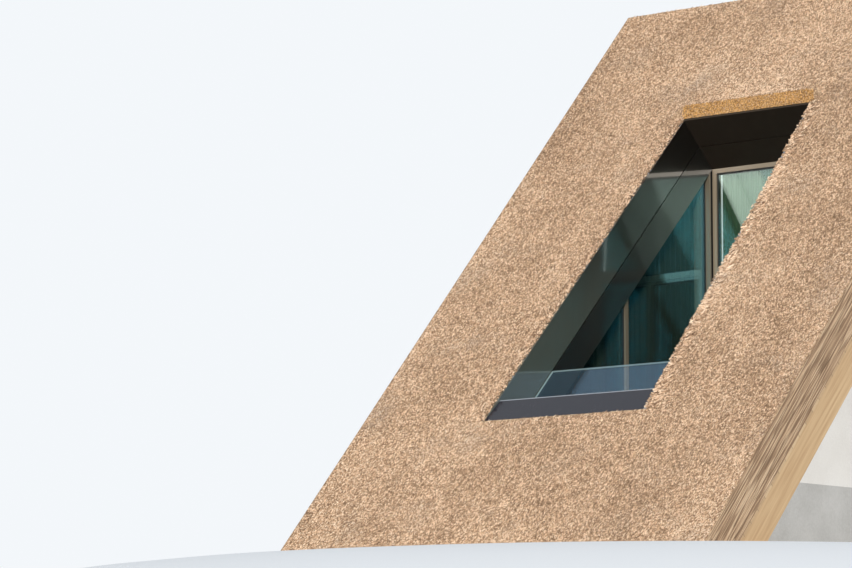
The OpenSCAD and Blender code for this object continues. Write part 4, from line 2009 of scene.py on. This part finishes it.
@dataclass
class Curtain:
    """One curtain, gathered into folds under its rail.

    The pitch and the depth are those of a fold, and the wander is how far the folds stray.
    """

    name: str
    node: str
    rail: str
    width: float
    place: Callable[[float, float], Vector]
    top: Callable[[float], float]
    bottom: float
    across: Vector
    seed: float
    finish: Finish
    pitch: float = 0.070
    depth: float = 0.022
    wander: float = 0.5
    columns_per_fold: int = 10
    rows: int = 26

    def _flat(self) -> bpy.types.Mesh:
        """The ungathered sheet.

        Returns:
            The mesh, with its run and its drop as attributes.
        """
        columns = round(self.width / self.pitch) * self.columns_per_fold
        mesh = bpy.data.meshes.new(self.name)
        corners, runs, drops, faces = [], [], [], []
        for i in range(columns + 1):
            run = self.width * i / columns
            for j in range(self.rows + 1):
                down = j / self.rows
                z = self.top(run) + (self.bottom - self.top(run)) * down
                corners.append(self.place(run, z))
                runs.append(run)
                drops.append(down)
        step = self.rows + 1
        for i in range(columns):
            for j in range(self.rows):
                a = i * step + j
                faces.append((a, a + 1, a + step + 1, a + step))
        mesh.from_pydata(corners, [], faces)
        mesh.attributes.new(CLOTH_RUN, "FLOAT", "POINT").data.foreach_set("value", runs)
        mesh.attributes.new(CLOTH_DROP, "FLOAT", "POINT").data.foreach_set("value", drops)
        return mesh

    def _map_cloth(self, mesh: bpy.types.Mesh) -> tuple[float, float]:
        """Lays the cloth's own map in metres.

        Args:
            mesh: The gathered cloth.

        Returns:
            The cloth's full width, measured along its folds, and its area.
        """
        step = self.rows + 1
        columns = len(mesh.vertices) // step
        middle = self.rows // 2
        run = [0.0]
        for i in range(1, columns):
            a, b = mesh.vertices[(i - 1) * step + middle].co, mesh.vertices[i * step + middle].co
            run.append(run[-1] + math.dist(a[:2], b[:2]))
        layer = mesh.uv_layers.new(name=CLOTH_MAP)
        for loop in mesh.loops:
            column = loop.vertex_index // step
            layer.data[loop.index].uv = (run[column], mesh.vertices[loop.vertex_index].co.z)
        return run[-1], sum(face.area for face in mesh.polygons)

    def build(self, tree: FoldTree) -> bpy.types.Object:
        """Args:
            tree: The tree of the folds.

        Returns:
            The cloth.
        """
        mesh = tree.grow(
            self._flat(),
            {
                "Depth": self.depth,
                "Pitch": self.pitch,
                "Wander": self.wander,
                "Across": tuple(self.across),
                "Seed": self.seed,
                "Finish": self.finish.material(),
            },
        )
        wide, area = self._map_cloth(mesh)
        tall = max(self.top(0.0), self.top(self.width)) - self.bottom
        cloth = add_piece(self.name, mesh, self.finish)
        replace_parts(cloth, self.node)
        min(area, wide * tall)
        return cloth


@dataclass
class Curtains:
    """The curtains of the cheeks and of the doors."""

    bay: Bay = BAY
    end_clear: float = 0.140
    end_lap: float = 0.010
    meeting_gap: float = 0.002
    outer_gap: float = 0.025

    def cheek(self, side: Side) -> Curtain:
        """The curtain along one cheek.

        Args:
            side: Which cheek.

        Returns:
            The curtain, cut to the slope.
        """
        bay = self.bay
        first = bay.knee_y + self.end_clear
        width = bay.cheek_rear_y + self.end_lap - first
        top_n = bay.roof + bay.rail_height + bay.curtain_gap
        return Curtain(
            name=f"curtain_cloth_{side.hand}",
            node=f"curtain_{side.hand}",
            rail="curtain_rails",
            width=width,
            place=lambda run, z: bay.cheek_point(side, first + run, z, bay.curtain_offset),
            top=lambda run: bay.rake_z(first + run, top_n),
            bottom=bay.floor_z + bay.hem_gap,
            across=Vector((side.value, 0, 0)),
            seed=3.0 + side.value,
            finish=CURTAIN_PAINTED_SHADE,
        )

    def front(self, side: Side) -> Curtain:
        """The curtain over one door leaf.

        Args:
            side: Which leaf.

        Returns:
            The curtain.
        """
        bay = self.bay
        low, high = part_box(f"curtain_front_{side.hand}")
        middle = (low.y + high.y) / 2
        width = bay.top_width / 2 - self.outer_gap - self.meeting_gap
        return Curtain(
            name=f"curtain_cloth_front_{side.hand}",
            node=f"curtain_front_{side.hand}",
            rail="curtain_rails",
            width=width,
            place=lambda run, z: Vector((side.value * (self.meeting_gap + run), middle, z)),
            top=lambda run: high.z,
            bottom=bay.floor_z + bay.hem_gap,
            across=Vector((0, 1, 0)),
            seed=7.0 + side.value,
            finish=CURTAIN_FRONT,
            pitch=0.055,
            depth=0.016,
        )

    def build(self) -> None:
        """Gathers all four."""
        tree = FoldTree()
        for side in Side:
            self.cheek(side).build(tree)
            self.front(side).build(tree)


# Stage


@dataclass
class Studio:
    """The floor, the light and the camera.

    The floor is flat round the part and falls away further out, so that the camera, which is
    below the part's base, looks at it from above.
    """

    bay: Bay = BAY
    focal_pixels: float = 3778.4
    picture_width: float = 852.0
    sensor: float = 36.0
    camera_range: float = 200.0
    camera_from_corner: Triple = (19.966, -24.375, -2.853)
    yaw: float = math.radians(40.208)
    tilt: float = math.radians(7.253)
    sun_from: Triple = (0.56, -0.79, 0.24)
    sun_strength: float = 3.4
    sun_angle: float = math.radians(1.2)
    sun_colour: Colour = (1.0, 0.95, 0.88)
    sky_strength: float = 0.46
    sky_colour: Colour = (0.80, 0.89, 1.0)
    backdrop: Colour = (0.90, 0.93, 0.96)
    floor_flat: float = 3.6
    floor_fall: float = 18.0
    floor_drop: float = 3.2
    floor_reach: float = 120.0
    floor_rings: int = 28
    floor_sides: int = 96
    floor_roughness: float = 0.9

    def camera(self) -> None:
        """Puts the camera where the photograph was taken from."""
        corner = self.bay.slope_point(-self.bay.foot_width / 2, 0, 0)
        data = bpy.data.cameras.new("camera")
        data.sensor_width = self.sensor
        data.lens = self.focal_pixels * self.sensor / self.picture_width
        data.clip_end = self.camera_range
        camera = bpy.data.objects.new("camera", data)
        bpy.context.scene.collection.objects.link(camera)
        camera.location = corner + Vector(self.camera_from_corner)
        aim = Vector(
            (
                -math.sin(self.yaw) * math.cos(self.tilt),
                math.cos(self.yaw) * math.cos(self.tilt),
                math.sin(self.tilt),
            )
        )
        camera.rotation_mode = "QUATERNION"
        camera.rotation_quaternion = aim.to_track_quat("-Z", "Y")
        bpy.context.scene.camera = camera

    def sun(self) -> None:
        """Adds the sun."""
        data = bpy.data.lights.new("sun", "SUN")
        data.energy = self.sun_strength
        data.angle = self.sun_angle
        data.color = self.sun_colour
        sun = bpy.data.objects.new("sun", data)
        bpy.context.scene.collection.objects.link(sun)
        sun.rotation_mode = "QUATERNION"
        sun.rotation_quaternion = Vector(self.sun_from).to_track_quat("Z", "Y")

    def sky(self) -> None:
        """Adds the even light of the sky, and the pale backdrop that eye, mirror and glass see."""
        world = bpy.data.worlds.new("sky")
        bpy.context.scene.world = world
        world.use_nodes = True
        graph = Graph(world.node_tree)
        path = graph.add("ShaderNodeLightPath")
        seen = (
            graph.value(path, "Is Camera Ray")
            .largest(graph.value(path, "Is Glossy Ray"))
            .largest(graph.value(path, "Is Transmission Ray"))
        )
        even = graph.add(
            "ShaderNodeBackground", inputs={"Color": self.sky_colour, "Strength": self.sky_strength}
        )
        pale = graph.add("ShaderNodeBackground", inputs={"Color": self.backdrop, "Strength": 1.0})
        mixed = graph.add(
            "ShaderNodeMixShader", inputs={0: seen, 1: even.outputs[0], 2: pale.outputs[0]}
        )
        graph.add("ShaderNodeOutputWorld", inputs={"Surface": mixed.outputs[0]})

    def level(self, radius: float) -> float:
        """Level of the floor at a distance from the middle, lower further out."""
        run = min(1.0, max(0.0, (radius - self.floor_flat) / (self.floor_fall - self.floor_flat)))
        return -self.floor_drop * run * run * (3 - 2 * run)

    def _mound(self, work: bmesh.types.BMesh) -> None:
        """Adds rings of faces from the middle to the floor's edge.

        Args:
            work: The mesh under construction.
        """
        step = (self.floor_fall - self.floor_flat) / self.floor_rings
        radii = [self.floor_flat + step * i for i in range(self.floor_rings + 1)]
        lines = []
        for radius in (*radii, self.floor_reach):
            turns = [2 * math.pi * i / self.floor_sides for i in range(self.floor_sides)]
            z = self.level(radius)
            lines.append([work.verts.new((radius * math.cos(a), radius * math.sin(a), z)) for a in turns])
        work.faces.new(lines[0])
        for near, far in zip(lines, lines[1:]):
            for i in range(self.floor_sides):
                j = (i + 1) % self.floor_sides
                work.faces.new([near[i], far[i], far[j], near[j]])

    def _floor_finish(self) -> bpy.types.Material:
        """Makes the floor's finish, which is clear from below.

        Returns:
            The material.
        """
        paint = Paint("floor")
        geometry = paint.add("ShaderNodeNewGeometry")
        pale = paint.principled(Base_Color=self.backdrop, Roughness=self.floor_roughness)
        clear = paint.add("ShaderNodeBsdfTransparent")
        return paint.finish(
            paint.add(
                "ShaderNodeMixShader",
                inputs={0: geometry.outputs["Backfacing"], 1: pale.outputs[0], 2: clear.outputs[0]},
            )
        )

    def floor(self) -> None:
        """Adds a pale floor at the base."""
        mesh = mesh_from(self._mound)
        if mesh.polygons[0].normal.z < 0:
            mesh.flip_normals()
        mesh.shade_smooth()
        mesh.materials.append(self._floor_finish())
        floor = bpy.data.objects.new("floor", mesh)
        bpy.context.scene.collection.objects.link(floor)

    def build(self) -> None:
        """Sets the stage."""
        self.camera()
        self.sun()
        self.sky()
        self.floor()
        bpy.context.scene.view_settings.view_transform = "Standard"


# The whole


def main() -> None:
    """Builds the stage, dresses the CAD nodes and adds the pieces in order."""
    logging.basicConfig(level=logging.INFO, format="%(message)s")
    Studio().build()
    for node, finish in NODE_FINISHES.items():
        dress(node, finish)
    Thatch().build()
    TerraceDeck().build()
    Glazing().build()
    Curtains().build()


if __name__ == "__main__":
    main()
